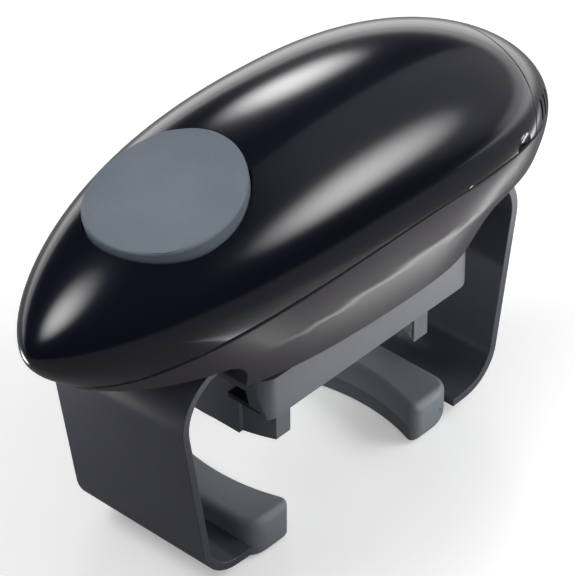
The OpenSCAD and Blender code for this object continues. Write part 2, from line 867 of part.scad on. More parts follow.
module pad() {
    difference() {
        intersection() {
            pad_block();
            rotate([90, 0, 90]) linear_extrude(big) pad_side(pad_half_w - hair);
            rotate([90, 0, 0]) linear_extrude(big, center = true) pad_side(pad_back_x);
        }
        translate([pad_back_x - tip_depth - lay_gap, -tip_half_w - lay_gap, pad_drop - lay_gap])
        cube([tip_depth + over + lay_gap, 2 * (tip_half_w + lay_gap), arm_t + 2 * lay_gap]);
    }
}

module pad_right() color(pad_grey) pad();

module pad_left() color(pad_grey) rotate([0, 0, 180]) pad();

// ---- Gearing ----

module arm_pinion() color(gear_white) {
    difference() {
        union() {
            translate([0, 0, arm_pinion_z]) gear(rack_module, arm_pinion_teeth, arm_top - arm_pinion_z);
            disc_at(arm_top, arm_pinion_r - 1.5, drum_z - lay_gap - arm_top);
        }
        disc_at(carriage_z, jaw_shaft_r + turn_gap, big);
    }
}

// Drum over the arm pinion with the planets' ring of teeth inside
module ring_gear() color(gear_white) {
    difference() {
        disc_at(drum_z, drum_r, drum_top - drum_z);
        translate([0, 0, drum_z + drum_floor_t])
        rotate([0, 0, 180 / ring_teeth])
        linear_extrude(big)
        gear_outline(planet_module, ring_teeth, ring_r + dedendum * planet_module,
            ring_r - addendum * planet_module, -backlash);
        disc_at(carriage_z, jaw_shaft_r + slide_gap, big);
    }
}

module planet_carrier() color(gear_white) {
    difference() {
        union() {
            translate([0, 0, carrier_z]) disc(planet_orbit + 3.2, carrier_t);
            for (k = [0:2]) {
                rotate([0, 0, 120 * k])
                translate([planet_orbit, 0, carrier_z])
                disc(planet_pin_r, planet_z + planet_h - carrier_z, small_fn);
            }
        }
        for (k = [0:2]) {
            rotate([0, 0, 60 + 120 * k]) translate([planet_orbit, 0, 0]) disc(3.4, big, small_fn);
        }
    }
}

module planet_gear(k) {
    dir = 120 * k;
    translate(concat(polar(planet_orbit, dir), [planet_z])) difference() {
        gear(planet_module, planet_teeth, planet_h, mesh_rot(dir, 0, sun_teeth, planet_teeth));
        translate([0, 0, -over]) disc(planet_pin_r + turn_gap, planet_h + 2 * over, small_fn);
    }
}

module planet_gear_1() color(gear_white) planet_gear(0);

module planet_gear_2() color(gear_white) planet_gear(1);

module planet_gear_3() color(gear_white) planet_gear(2);

module sun_gear() color(gear_white) {
    translate([0, 0, planet_z]) gear(planet_module, sun_teeth, planet_h);
    translate([0, 0, planet_z]) disc(sun_shaft_r, main_z + main_h - planet_z);
}

module main_gear() color(gear_white) difference() {
    translate([0, 0, main_z]) gear(train_module, main_teeth, main_h);
    translate([0, 0, main_z - over]) disc(sun_shaft_r + turn_gap, big);
    for (k = [0:5]) {
        rotate([0, 0, 60 * k]) translate([main_r * 0.6, 0, main_z - over]) disc(2.6, big, small_fn);
    }
}

// A big gear and a small pinion moulded in one; low says whether the pinion is under the gear
module compound_gear(teeth, rot, pinion_z, big_z, hub_z) {
    difference() {
        union() {
            translate([0, 0, pinion_z]) gear(train_module, pinion_teeth, big_z - pinion_z + over / 2, rot);
            translate([0, 0, big_z]) gear(train_module, teeth, gear_h, rot);
            translate([0, 0, hub_z]) disc(axle_r + 1, big_z - hub_z, small_fn);
        }
        disc(axle_r + turn_gap, big, small_fn);
    }
}

module reduction_gear_2() color(gear_white) {
    translate(second_pos) compound_gear(second_teeth, second_rot, main_z, level_2_z, main_z);
}

module reduction_gear_1() color(gear_white) {
    translate(first_pos) compound_gear(first_teeth, first_rot, level_2_z, level_3_z, main_z);
}

module axle() {
    translate([0, 0, chassis_z]) disc(axle_r, motor_z - chassis_z, small_fn);
}

module gear_axle_1() color(steel) translate(first_pos) axle();

module gear_axle_2() color(steel) translate(second_pos) axle();

module motor_pinion() color(steel) {
    translate([0, 0, level_3_z]) gear(train_module, pinion_teeth, gear_h, motor_rot);
    translate([0, 0, level_3_z]) disc(axle_r, motor_z + 8 - level_3_z, small_fn);
}

module chassis_plate() color(tray_grey) {
    difference() {
        union() {
            translate([0, 0, chassis_z]) rounded_plate(pillar_x + 5, pillar_y + 3.5, 5, chassis_t);
            translate([button_x + 7.8, 0, chassis_z]) rounded_plate(17, bracket_w - 2, 4, chassis_t);
            at_each(post_places) {
                translate([0, 0, chassis_z]) disc(2.2, motor_plate_z - chassis_z - lay_gap, small_fn);
            }
        }
        disc(sun_shaft_r + turn_gap, big);
        at_each(pillar_places) disc(screw_r + 0.2, big, small_fn);
        at_each([first_pos, second_pos]) disc(axle_r, big, small_fn);
    }
}

module motor_plate() color(tray_grey) {
    collar_h = 4;
    difference() {
        union() {
            translate([0, 0, motor_plate_z]) linear_extrude(motor_plate_t) hull() {
                for (p = post_places) translate(p) circle(4, $fn = small_fn);
            }
            translate([0, 0, motor_plate_z]) disc(motor_r + 2, motor_plate_t + collar_h);
        }
        translate([0, 0, motor_z]) motor_can(lay_gap);
        translate([0, 0, motor_plate_z - over]) disc(3 + lay_gap, big);
        at_each([first_pos, second_pos]) disc(axle_r, motor_z, small_fn);
    }
}

module motor_can(extra = 0) {
    intersection() {
        disc(motor_r + extra, motor_len);
        translate([-big / 2, -motor_flat / 2 - extra, -over]) cube([big, motor_flat + 2 * extra, big]);
    }
}

module motor() color(steel) {
    nose_h = 1.6;
    difference() {
        translate([0, 0, motor_z]) union() {
            motor_can();
            translate([0, 0, -nose_h]) disc(3, nose_h + over);
            for (y = [-4, 4]) translate([-4, y - 0.6, motor_len - over]) cube([0.4, 1.2, over + 0.8]);
        }
        disc(axle_r + turn_gap, motor_z + 9, small_fn);
    }
}

// ---- Carriage ----

module carriage_block(half_w, half_len_top, half_len_bottom) {
    intersection() {
        translate([0, 0, carriage_z]) rounded_plate(half_len_top, half_w, carriage_corner_r, carriage_h);
        rotate([90, 0, 0])
        linear_extrude(2 * half_w, center = true)
        polygon([[-half_len_bottom, carriage_z], [half_len_bottom, carriage_z],
            [half_len_top, carriage_z + carriage_h * 0.75], [half_len_top, carriage_top],
            [-half_len_top, carriage_top], [-half_len_top, carriage_z + carriage_h * 0.75]]);
    }
}

module carriage() color(bar_grey) difference() {
    union() {
        carriage_block(carriage_half_w, carriage_half_len, carriage_half_len - carriage_end_cut);
        disc_at(carriage_top - over, hub_r, floor_top + 0.1 - carriage_top + over);
        disc_at(carriage_top, hub_r - 1.8, ring_z + ring_t - carriage_top);
    }
    // channel for the jaw flanges and racks, then the seat of the cover
    translate([-big / 2, -channel_half_w, ledge_z]) cube([big, 2 * channel_half_w, channel_top - ledge_z]);
    translate([-big / 2, -cover_half_w, carriage_z - over]) cube([big, 2 * cover_half_w, ledge_z - carriage_z + over]);
    disc_at(carriage_z, jaw_shaft_r + turn_gap, big);
    at_each(carriage_screw_places) disc_at(carriage_z, screw_r + lay_gap, cover_t + 6);
}

module disc_at(z, r, h) {
    translate([0, 0, z]) disc(r, h);
}

module carriage_cover() color(jaw_grey) difference() {
    intersection() {
        carriage_block(cover_half_w - lay_gap, carriage_half_len - 0.5, carriage_half_len - carriage_end_cut - 0.5);
        translate([-big / 2, -big / 2, cover_z]) cube([big, big, cover_t]);
    }
    for (side = [-1, 1]) {
        translate([side * (centre_half_len + big / 2) - big / 2, -mouth_half_w, carriage_z - over])
        cube([big, 2 * mouth_half_w, big]);
    }
    at_each(carriage_screw_places) disc_at(carriage_z - over, screw_r + lay_gap, 10);
}

module hub_ring() color(steel) translate([0, 0, ring_z]) difference() {
    disc(10.6, ring_t);
    translate([0, 0, -over]) disc(hub_r - 1.8, ring_t + 2 * over);
}

module jaw_pinion() color(gear_white) {
    translate([0, 0, jaw_rack_z]) gear(rack_module, jaw_pinion_teeth, jaw_rack_h);
    disc_at(ledge_z + 0.1, jaw_shaft_r, carrier_z - 0.2 - ledge_z - 0.1);
}

// ---- Jaws ----

// Crescent of the +X jaw, seen from above
module jaw_plan() {
    back_c = jaw_back_x - jaw_back_r;
    face_c = jaw_face_x + grip_t - jaw_hollow_r;
    intersection() {
        difference() {
            translate([back_c, 0]) circle(jaw_back_r, $fn = 180);
            translate([face_c, 0]) circle(jaw_hollow_r, $fn = 180);
        }
        translate([0, -jaw_half_w]) square([big, 2 * jaw_half_w]);
    }
}

module jaw() {
    block_x = [jaw_face_x - 3.5, jaw_back_x - 0.2];
    flange_x = [24, 40];
    rack_reach = 16;
    translate([0, 0, jaw_z]) linear_extrude(jaw_wing_h) jaw_plan();
    translate([block_x[0] + 4.5, -jaw_block_half_w, jaw_z])
    cube([block_x[1] - block_x[0] - 4.5, 2 * jaw_block_half_w, flange_z - jaw_z + over]);
    translate([flange_x[0], -channel_half_w + slide_gap, flange_z])
    cube([flange_x[1] - flange_x[0], 2 * (channel_half_w - slide_gap), flange_t]);
    translate([0, 0, jaw_rack_z])
    linear_extrude(jaw_rack_h)
    mirror([0, 1])
    translate([0, jaw_pinion_r])
    rack_outline(rack_module, -rack_reach, flange_x[1], 7);
    translate([flange_x[0], -jaw_pinion_r - 7, flange_z])
    cube([flange_x[1] - flange_x[0], 7 - dedendum, jaw_rack_z - flange_z + over]);
}

module jaw_right() color(bar_grey) jaw();

module jaw_left() color(bar_grey) rotate([0, 0, 180]) jaw();

// Thin plate with upright teeth, bent to the hollow of the jaw
module grip_plate() {
    face_c = jaw_face_x + grip_t - jaw_hollow_r;
    half_a = asin((jaw_half_w - 1) / jaw_hollow_r);
    tooth_h = 0.5;
    back = jaw_hollow_r - lay_gap;
    front = jaw_hollow_r - grip_t;
    count = 2 * grip_teeth;
    translate([face_c, 0, jaw_z + 0.8]) linear_extrude(jaw_wing_h - 1.6) polygon(concat(
        [for (i = [0:count]) polar(back, -half_a + 2 * half_a * i / count)],
        [for (i = [count:-1:0]) polar(front + (i % 2) * tooth_h, -half_a + 2 * half_a * i / count)]));
}

module grip_plate_right() color(steel) grip_plate();

module grip_plate_left() color(steel) rotate([0, 0, 180]) grip_plate();

// ---- Batteries ----

tray_wall_t = 1.2;
tray_wall_x = cell_x - 2.8;

module battery_tray() color(tray_grey) {
    wall = tray_wall_t;
    half_w = 2 * cell_r + 0.7 + wall;
    len = cell_len - 6;
    back_x = tray_wall_x - wall;
    difference() {
        union() {
            translate([back_x, -half_w, tray_floor_z]) cube([len, 2 * half_w, cell_r + 3]);
            translate([back_x, -half_w, tray_floor_z]) cube([wall, 2 * half_w, 2 * cell_r + 3]);
            // feet on the flat floor of the lower shell and on the chassis
            for (x = [57, 68]) {
                translate([x, -10, belly_z + floor_t + lay_gap]) cube([3, 20, tray_floor_z - belly_z - floor_t]);
            }
            for (y = [-12, 12]) {
                translate([back_x, y - 2, chassis_z + chassis_t + lay_gap]) cube([5, 4, tray_floor_z - chassis_z]);
            }
        }
        for (side = [-1, 1]) {
            translate([back_x + wall, side * cell_y, cell_z])
            rotate([0, 90, 0])
            disc(cell_r + 0.2, big);
        }
    }
}

module cell() {
    rotate([0, 90, 0]) {
        disc(cell_r, cell_len - 1.2);
        disc(2.6, cell_len);
    }
}

module battery_cell_left() color(brass_tone) translate([cell_x, cell_y, cell_z]) cell();

module battery_cell_right() color(brass_tone) {
    translate([cell_x + cell_len, -cell_y, cell_z]) rotate([0, 0, 180]) cell();
}

module contact_spring() color(steel) {
    translate([cell_x - lay_gap, cell_y, cell_z])
    rotate([0, -90, 0])
    spring(3.2, 5, 0.3, cell_x - tray_wall_x - 0.3 - 3 * lay_gap, 3);
}

// One plate under the spring, one with a raised boss that reaches the other cell
module contact_plates() color(steel) {
    plate_x = tray_wall_x + lay_gap;
    plate_t = 0.3;
    for (side = [-1, 1]) {
        translate([plate_x, side * cell_y - 4, cell_z - 4]) cube([plate_t, 8, 8]);
    }
    translate([plate_x, -cell_y, cell_z])
    rotate([0, 90, 0])
    disc(2, cell_x - lay_gap - plate_x, small_fn);
}

// ---- Screws ----

module shell_screws() color(steel) {
    at_each(boss_places) translate([0, 0, belly_z + 0.6]) screw(seam_z + 6 - belly_z);
}

module chassis_screws() color(steel) {
    at_each(pillar_places) {
        translate([0, 0, chassis_z + chassis_t + 1.4]) mirror([0, 0, 1]) screw(9);
    }
}

module carriage_screws() color(steel) {
    head_h = 1.3;
    at_each(carriage_screw_places) translate([0, 0, cover_z - lay_gap - head_h]) screw(6, 2, head_h);
}

upper_shell();
lower_shell();
battery_cover();
cover_contact();
button_cap();
button_spring();
switch_body();
switch_plunger();
switch_bracket();
arm_left();
arm_right();
pad_left();
pad_right();
arm_pinion();
ring_gear();
planet_carrier();
planet_gear_1();
planet_gear_2();
planet_gear_3();
sun_gear();
chassis_plate();
main_gear();
reduction_gear_1();
reduction_gear_2();
gear_axle_1();
gear_axle_2();
motor_plate();
motor_pinion();
motor();
carriage();
carriage_cover();
hub_ring();
jaw_pinion();
jaw_left();
jaw_right();
grip_plate_left();
grip_plate_right();
battery_tray();
battery_cell_left();
battery_cell_right();
contact_spring();
contact_plates();
shell_screws();
chassis_screws();
carriage_screws();
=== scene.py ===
import json
import math

import bmesh
import bpy
from mathutils import Matrix, Vector

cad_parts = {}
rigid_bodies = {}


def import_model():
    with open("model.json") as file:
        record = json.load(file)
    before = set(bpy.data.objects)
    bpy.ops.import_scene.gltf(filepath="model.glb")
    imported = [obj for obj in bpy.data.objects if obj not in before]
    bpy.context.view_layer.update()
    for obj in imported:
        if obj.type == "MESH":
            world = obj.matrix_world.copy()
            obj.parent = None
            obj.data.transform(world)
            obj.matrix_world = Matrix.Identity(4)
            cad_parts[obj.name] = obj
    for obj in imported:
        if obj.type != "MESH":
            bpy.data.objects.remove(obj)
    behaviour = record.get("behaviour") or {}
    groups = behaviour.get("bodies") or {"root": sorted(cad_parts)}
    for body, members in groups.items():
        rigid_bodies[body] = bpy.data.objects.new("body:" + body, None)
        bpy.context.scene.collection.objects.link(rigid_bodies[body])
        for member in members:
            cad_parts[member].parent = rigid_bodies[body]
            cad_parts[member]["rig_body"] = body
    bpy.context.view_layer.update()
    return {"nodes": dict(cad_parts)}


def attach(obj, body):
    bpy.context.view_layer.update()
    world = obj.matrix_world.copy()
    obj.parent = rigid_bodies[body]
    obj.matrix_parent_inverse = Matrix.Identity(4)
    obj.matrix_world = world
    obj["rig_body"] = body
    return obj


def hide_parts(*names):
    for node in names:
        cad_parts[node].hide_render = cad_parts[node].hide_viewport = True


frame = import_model()
nodes = frame["nodes"]
mm = 0.001


class Wire:
    # a node's output that can stand in a sum
    def __init__(self, paint, socket):
        self.paint = paint
        self.socket = socket

    def calc(self, operation, first, second=0.0):
        return self.paint.add("Math", {"operation": operation}, {0: first, 1: second})

    def __add__(self, other):
        return self.calc("ADD", self, other)

    def __radd__(self, other):
        return self.calc("ADD", other, self)

    def __sub__(self, other):
        return self.calc("SUBTRACT", self, other)

    def __rsub__(self, other):
        return self.calc("SUBTRACT", other, self)

    def __mul__(self, other):
        return self.calc("MULTIPLY", self, other)

    def __rmul__(self, other):
        return self.calc("MULTIPLY", other, self)

    def cut(self, low, high):
        # 0 below low, 1 above high
        return self.paint.add("MapRange", {"interpolation_type": "SMOOTHSTEP"}, {0: self, 1: low, 2: high})


class Graph:
    # a node tree that is filled by code
    def __init__(self, owner):
        owner.use_nodes = True
        self.tree = owner.node_tree
        self.tree.nodes.clear()

    def add(self, kind, settings, sockets, output=0):
        node = self.tree.nodes.new("ShaderNode" + kind)
        for key, value in settings.items():
            if key == "stops":
                ramp = node.color_ramp.elements
                for place, colour in value[2:]:
                    ramp.new(place)
                for stop, (place, colour) in zip(ramp, value):
                    stop.position = place
                    stop.color = (*colour, 1)
            else:
                setattr(node, key, value)
        for key, value in sockets.items():
            if isinstance(value, Wire):
                self.tree.links.new(value.socket, node.inputs[key])
            else:
                node.inputs[key].default_value = value
        if output is None:
            return None
        return Wire(self, node.outputs[output])


class Paint(Graph):
    # one material of the part
    def __init__(self, name, slot, fixed):
        self.slot = slot
        self.material = bpy.data.materials.new(name)
        super().__init__(self.material)
        self.shader = self.add("BsdfPrincipled", {}, fixed)
        self.add("OutputMaterial", {}, {"Surface": self.shader}, None)
        self.place = self.add("TexCoord", {}, {}, "Object")

    def feed(self, **sockets):
        node = self.shader.socket.node
        for key, wire in sockets.items():
            self.tree.links.new(wire.socket, node.inputs[key.replace("_", " ")])

    def noise(self, scale, detail=3.0, roughness=0.5, stretch=None):
        place = self.place
        if stretch:
            place = self.add("Mapping", {}, {"Vector": place, "Scale": stretch})
        sockets = {"Vector": place, "Scale": scale, "Detail": detail, "Roughness": roughness}
        return self.add("TexNoise", {}, sockets)

    def cells(self, scale, feature="F1"):
        return self.add("TexVoronoi", {"feature": feature}, {"Vector": self.place, "Scale": scale})

    def mix(self, share, one, two):
        return self.add("Mix", {"data_type": "RGBA"}, {0: share, 6: (*one, 1), 7: (*two, 1)}, 2)

    def bump(self, height, depth, strength=1.0):
        return self.add("Bump", {}, {"Height": height, "Distance": depth, "Strength": strength})


def glossPaint(name, slot, tones, rough, coat):
    # polished moulded plastic: faint flow in the colour, very faint waviness, fine dust in the roughness
    paint = Paint(name, slot, {"Coat Weight": coat, "Coat Roughness": 0.05, "IOR": 1.5, "Coat IOR": 1.5})
    flow = paint.noise(22, 3)
    dust = paint.noise(2600, 2)
    paint.feed(
        Base_Color=paint.mix(flow, *tones),
        Roughness=rough + 0.05 * flow + 0.04 * dust.cut(0.6, 0.8),
        Normal=paint.bump(paint.noise(90, 2), 0.00004),
    )
    return paint


def grainPaint(name, slot, tones, rough, size, depth, spread=0.12):
    # moulded plastic with a fine pitted grain
    paint = Paint(name, slot, {"IOR": 1.48})
    pits = paint.cells(1 / size, "SMOOTH_F1")
    fine = paint.noise(2.2 / size, 4, 0.6)
    broad = paint.noise(28, 3)
    height = pits * 0.7 + fine * 0.5
    paint.feed(
        Base_Color=paint.mix((broad * 0.6 + fine * 0.4).cut(0.3, 0.7), *tones),
        Roughness=rough + spread * (fine - 0.5),
        Normal=paint.bump(height, depth),
    )
    return paint


def steelPaint(name, slot, tones, rough, stretch=(1, 1, 1), scale=900):
    # drawn or stamped metal with fine lines
    paint = Paint(name, slot, {"Metallic": 1.0})
    lines = paint.noise(scale, 4, 0.65, stretch)
    cloud = paint.noise(60, 3)
    paint.feed(
        Base_Color=paint.mix((lines * 0.6 + cloud * 0.4).cut(0.3, 0.75), *tones),
        Roughness=rough + 0.16 * lines,
        Normal=paint.bump(lines, 0.00001),
    )
    return paint


paints = {
    "black": glossPaint(
        "blackGloss", "black_gloss", [(0.0035, 0.0045, 0.011), (0.0055, 0.0070, 0.017)], 0.17, 0.6,
    ),
    "dark": glossPaint(
        "darkGloss", "dark_gloss", [(0.050, 0.044, 0.052), (0.064, 0.056, 0.064)], 0.27, 0.05,
    ),
    "button": grainPaint(
        "buttonGrain", "button_grey", [(0.160, 0.190, 0.235), (0.215, 0.250, 0.300)], 0.52, 0.0009, 0.00011,
    ),
    "arm": grainPaint(
        "armSatin", "arm_grey", [(0.058, 0.060, 0.078), (0.072, 0.075, 0.095)], 0.36, 0.0006, 0.00002,
    ),
    "pad": grainPaint(
        "padRubber", "pad_rubber", [(0.170, 0.190, 0.215), (0.210, 0.230, 0.258)], 0.50, 0.0007, 0.00003,
    ),
    "bar": grainPaint(
        "carriageSatin", "carriage_grey", [(0.150, 0.162, 0.190), (0.180, 0.192, 0.222)], 0.42, 0.0006, 0.00002,
    ),
    "jaw": grainPaint(
        "jawSatin", "jaw_grey", [(0.030, 0.030, 0.034), (0.042, 0.042, 0.047)], 0.42, 0.0006, 0.00002,
    ),
    "inner": grainPaint(
        "innerPlastic", "inner_plastic", [(0.040, 0.040, 0.044), (0.055, 0.055, 0.060)], 0.5, 0.0008, 0.00003,
    ),
    "gear": grainPaint(
        "gearPlastic", "gear_plastic", [(0.70, 0.68, 0.60), (0.80, 0.78, 0.71)], 0.38, 0.0012, 0.00001,
    ),
    "grip": steelPaint(
        "gripSteel", "grip_steel", [(0.52, 0.53, 0.56), (0.72, 0.73, 0.75)], 0.16, (1, 1, 0.05),
    ),
    "spring": steelPaint(
        "springSteel", "spring_steel", [(0.48, 0.48, 0.50), (0.66, 0.66, 0.68)], 0.22,
    ),
    "motor": steelPaint(
        "motorSteel", "motor_steel", [(0.42, 0.42, 0.44), (0.58, 0.58, 0.60)], 0.26, (1, 1, 0.04),
    ),
    "cell": steelPaint(
        "cellWrap", "cell_wrap", [(0.16, 0.17, 0.20), (0.24, 0.25, 0.28)], 0.30, (0.05, 1, 1),
    ),
}


def dress(node, paint):
    # the CAD node stays and gets the paint
    mesh = nodes[node].data
    mesh.materials.clear()
    mesh.materials.append(paints[paint].material)


def finishPiece(mesh, name, paint, body, replaced, sharp=32):
    # gives a mesh in metres to its body, in place of the CAD nodes
    mesh.set_sharp_from_angle(angle=math.radians(sharp))
    mesh.materials.clear()
    mesh.materials.append(paints[paint].material)
    for face in mesh.polygons:
        face.material_index = 0
    piece = bpy.data.objects.new(name, mesh)
    bpy.context.scene.collection.objects.link(piece)
    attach(piece, body)
    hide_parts(*replaced)
    return piece


def meshOf(bm, name):
    # work is done in millimetres; the mesh is in metres
    bmesh.ops.scale(bm, vec=(mm, mm, mm), verts=bm.verts)
    for face in bm.faces:
        face.smooth = True
    mesh = bpy.data.meshes.new(name)
    bm.to_mesh(mesh)
    bm.free()
    return mesh


def withModifiers(mesh, *changes):
    # runs modifiers on a mesh and gives the result
    holder = bpy.data.objects.new("holder", mesh)
    bpy.context.scene.collection.objects.link(holder)
    for kind, settings in changes:
        modifier = holder.modifiers.new(kind, kind)
        for key, value in settings.items():
            setattr(modifier, key, value)
    result = bpy.data.meshes.new_from_object(holder.evaluated_get(bpy.context.evaluated_depsgraph_get()))
    bpy.data.objects.remove(holder)
    return result


def softCopy(name, paint, width, sharp, keep, segments=2):
    # a copy of a CAD node with small rounded edges where keep says so
    node = nodes[name]
    bm = bmesh.new()
    bm.from_mesh(node.data)
    bmesh.ops.scale(bm, vec=(1 / mm,) * 3, verts=bm.verts)
    bmesh.ops.remove_doubles(bm, verts=bm.verts, dist=0.005)
    bmesh.ops.dissolve_limit(bm, angle_limit=math.radians(0.5), verts=bm.verts, edges=bm.edges)
    edges = [e for e in bm.edges if len(e.link_faces) == 2 and e.calc_face_angle() > math.radians(sharp)]
    edges = [e for e in edges if all(keep(v.co) for v in e.verts)]
    bmesh.ops.bevel(
        bm, geom=edges, offset=width, offset_type="OFFSET", segments=segments, profile=0.5,
        affect="EDGES", clamp_overlap=True, material=-1,
    )
    piece = finishPiece(meshOf(bm, name), name + "Soft", paint, node["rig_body"], [name])
    even = piece.modifiers.new("even", "WEIGHTED_NORMAL")
    even.keep_sharp = True
    return piece


view = {
    "turn": 47.98,
    "tilt": 37.51,
    "distance": 1100.0,
    "picture": 576,             # pixels
    "pixel": 0.2965,            # millimetres at the middle of the object
    "sensor": 36.0,
    "foot": (290, 441),         # pixel where the part's origin lies
    "aimHeight": 50,
    "offset": (-2.2, 0.0, 8.7),
    "slip": (1.213, -0.048),
}


def makeCamera():
    turn, tilt = math.radians(view["turn"]), math.radians(view["tilt"])
    right = Vector((math.cos(turn), -math.sin(turn), 0))
    up = Vector((math.sin(turn) * math.sin(tilt), math.cos(turn) * math.sin(tilt), math.cos(tilt)))
    back = Vector((-math.sin(turn) * math.cos(tilt), -math.cos(turn) * math.cos(tilt), math.sin(tilt)))
    half = view["picture"] / 2
    across = (half - view["foot"][0]) * view["pixel"] + view["slip"][0]
    upward = (view["foot"][1] - half) * view["pixel"] + view["slip"][1]
    away = view["aimHeight"] * math.sin(tilt) + view["distance"]
    camera = bpy.data.objects.new("camera", bpy.data.cameras.new("camera"))
    bpy.context.scene.collection.objects.link(camera)
    camera.data.lens = view["sensor"] * view["distance"] / (view["picture"] * view["pixel"])
    camera.data.sensor_width = view["sensor"]
    camera.data.clip_start = 0.01
    place = across * right + upward * up + away * back + Vector(view["offset"])
    camera.matrix_world = Matrix.Translation(place * mm) @ Matrix((right, up, back)).transposed().to_4x4()
    bpy.context.scene.camera = camera


makeCamera()


studio = {
    "floorSize": 12.0,
    "floorTone": 0.95,
    "floorGlow": 0.30,
    "floorBounce": 0.24,
    "ambient": 0.40,
    "glossRoom": 0.02,
    "away": (0.743, 0.669, 0.0),        # level direction away from the camera
    "backdropSide": (0.25, 0.5),
    "backdropTop": (0.05, 0.14),        # where the white backdrop ends above the floor, in reflections
    "floorSide": (0.30, 0.70),          # where the floor turns white in reflections, in metres
    "panelTone": 0.36,                  # broad pale panel on the right
    "panelEdge": (-0.375, 0.927, 0.0),
    "panelEdgeFade": (-0.02, 0.01),
    "panelMiddle": (0.845, -0.074, 0.53),
    "panelFade": (0.72, 0.95),
    "panelFoot": (0.03, 0.2),
    "lampFade": (0.5, 0.05),            # from the panel's edge to near its middle
    "lampPeak": 2.0,
    # name: place, aim, sideways direction, length, breadth, power in watts
    "lamps": {
        "topSoft": [(1.10, -1.08, 1.36), (0, 0, 0.1), (0.50, 0.47, -0.18), 2.10, 1.20, 28.0],
        "backSoft": [(1.30, 1.28, 0.98), (0, 0, 0.1), (0.71, -0.70, 0.0), 0.76, 0.84, 6.6],
        "leftSoft": [(-0.92, 0.74, 1.66), (0, 0, 0.1), (0.62, 0.78, 0.0), 1.70, 1.40, 26.0],
        "armCard": [(-0.125, 0.105, 0.004), (-0.06, 0.06, 0.2), (0.0, 1.0, 0.0), 0.14, 0.09, 0.22],
        "lowCard": [(0.050, -0.102, 0.010), (0, 0, 0.1), (1.0, 0.16, 0.0), 0.520, 0.032, 0.20],
    },
}


def rayKinds(graph):
    return [graph.add("LightPath", {}, {}, f"Is {kind} Ray") for kind in ("Camera", "Glossy", "Transmission")]


def along(graph, where, direction):
    return graph.add("VectorMath", {"operation": "DOT_PRODUCT"}, {0: where, 1: direction}, "Value")


def makeWorld():
    # white to the camera and through glass
    # reflections show a white backdrop behind the object, in a dark room with one pale panel
    world = bpy.data.worlds.new("room")
    graph = Graph(world)
    bpy.context.scene.world = world
    camera, gloss, glass = rayKinds(graph)
    toward = graph.add("TexCoord", {}, {}, "Generated")
    height = along(graph, toward, (0, 0, 1))
    backdrop = along(graph, toward, studio["away"]).cut(*studio["backdropSide"])
    backdrop = backdrop * (1 - height.cut(*studio["backdropTop"]))
    panel = along(graph, toward, studio["panelMiddle"]).cut(*studio["panelFade"])
    panel = panel * (1 - along(graph, toward, studio["panelEdge"]).cut(*studio["panelEdgeFade"]))
    panel = panel * height.cut(*studio["panelFoot"])
    mirror = studio["glossRoom"] + panel * studio["panelTone"] + backdrop
    strength = camera + glass + gloss * mirror + (1 - camera - glass - gloss) * studio["ambient"]
    light = graph.add("Background", {}, {"Strength": strength})
    graph.add("OutputWorld", {}, {"Surface": light}, None)


def makeFloor():
    bm = bmesh.new()
    bmesh.ops.create_grid(bm, x_segments=1, y_segments=1, size=studio["floorSize"] / 2)
    mesh = bpy.data.meshes.new("floor")
    bm.to_mesh(mesh)
    bm.free()
    floor = bpy.data.objects.new("floor", mesh)
    bpy.context.scene.collection.objects.link(floor)
    material = bpy.data.materials.new("floor")
    mesh.materials.append(material)
    graph = Graph(material)
    camera, gloss, glass = rayKinds(graph)
    place = graph.add("NewGeometry", {}, {}, "Position")
    behind = along(graph, place, studio["away"]).cut(*studio["floorSide"])
    tone = studio["floorBounce"] + (camera + glass) * (studio["floorTone"] - studio["floorBounce"])
    glow = (camera + glass) * studio["floorGlow"] + gloss * behind
    matt = graph.add("BsdfPrincipled", {}, {
        "Base Color": tone, "Roughness": 1.0, "Specular IOR Level": 0.0,
        "Emission Color": (1, 1, 1, 1), "Emission Strength": glow,
    })
    graph.add("OutputMaterial", {}, {"Surface": matt}, None)


def makeLamps():
    for name, (place, aim, sideways, length, breadth, power) in studio["lamps"].items():
        lamp = bpy.data.lights.new(name, "AREA")
        lamp.shape = "RECTANGLE"
        lamp.size, lamp.size_y, lamp.energy = length, breadth, power
        holder = bpy.data.objects.new(name, lamp)
        bpy.context.scene.collection.objects.link(holder)
        away = (Vector(place) - Vector(aim)).normalized()
        side = Vector(sideways)
        side = (side - away * side.dot(away)).normalized()
        turn = Matrix((side, away.cross(side), away)).transposed().to_4x4()
        holder.matrix_world = Matrix.Translation(place) @ turn
        holder.visible_camera = False
        # the light fades towards the panel's edges
        graph = Graph(lamp)
        where = graph.add("NewGeometry", {}, {}, "Parametric")
        reach = graph.add("VectorMath", {"operation": "DISTANCE"}, {0: where, 1: (0.5, 0.5, 0)}, "Value")
        light = graph.add("Emission", {}, {"Strength": reach.cut(*studio["lampFade"]) * studio["lampPeak"]})
        graph.add("OutputLight", {}, {"Surface": light}, None)


bpy.context.scene.view_settings.view_transform = "Standard"
makeWorld()
makeFloor()
makeLamps()
print("camera and studio ready")


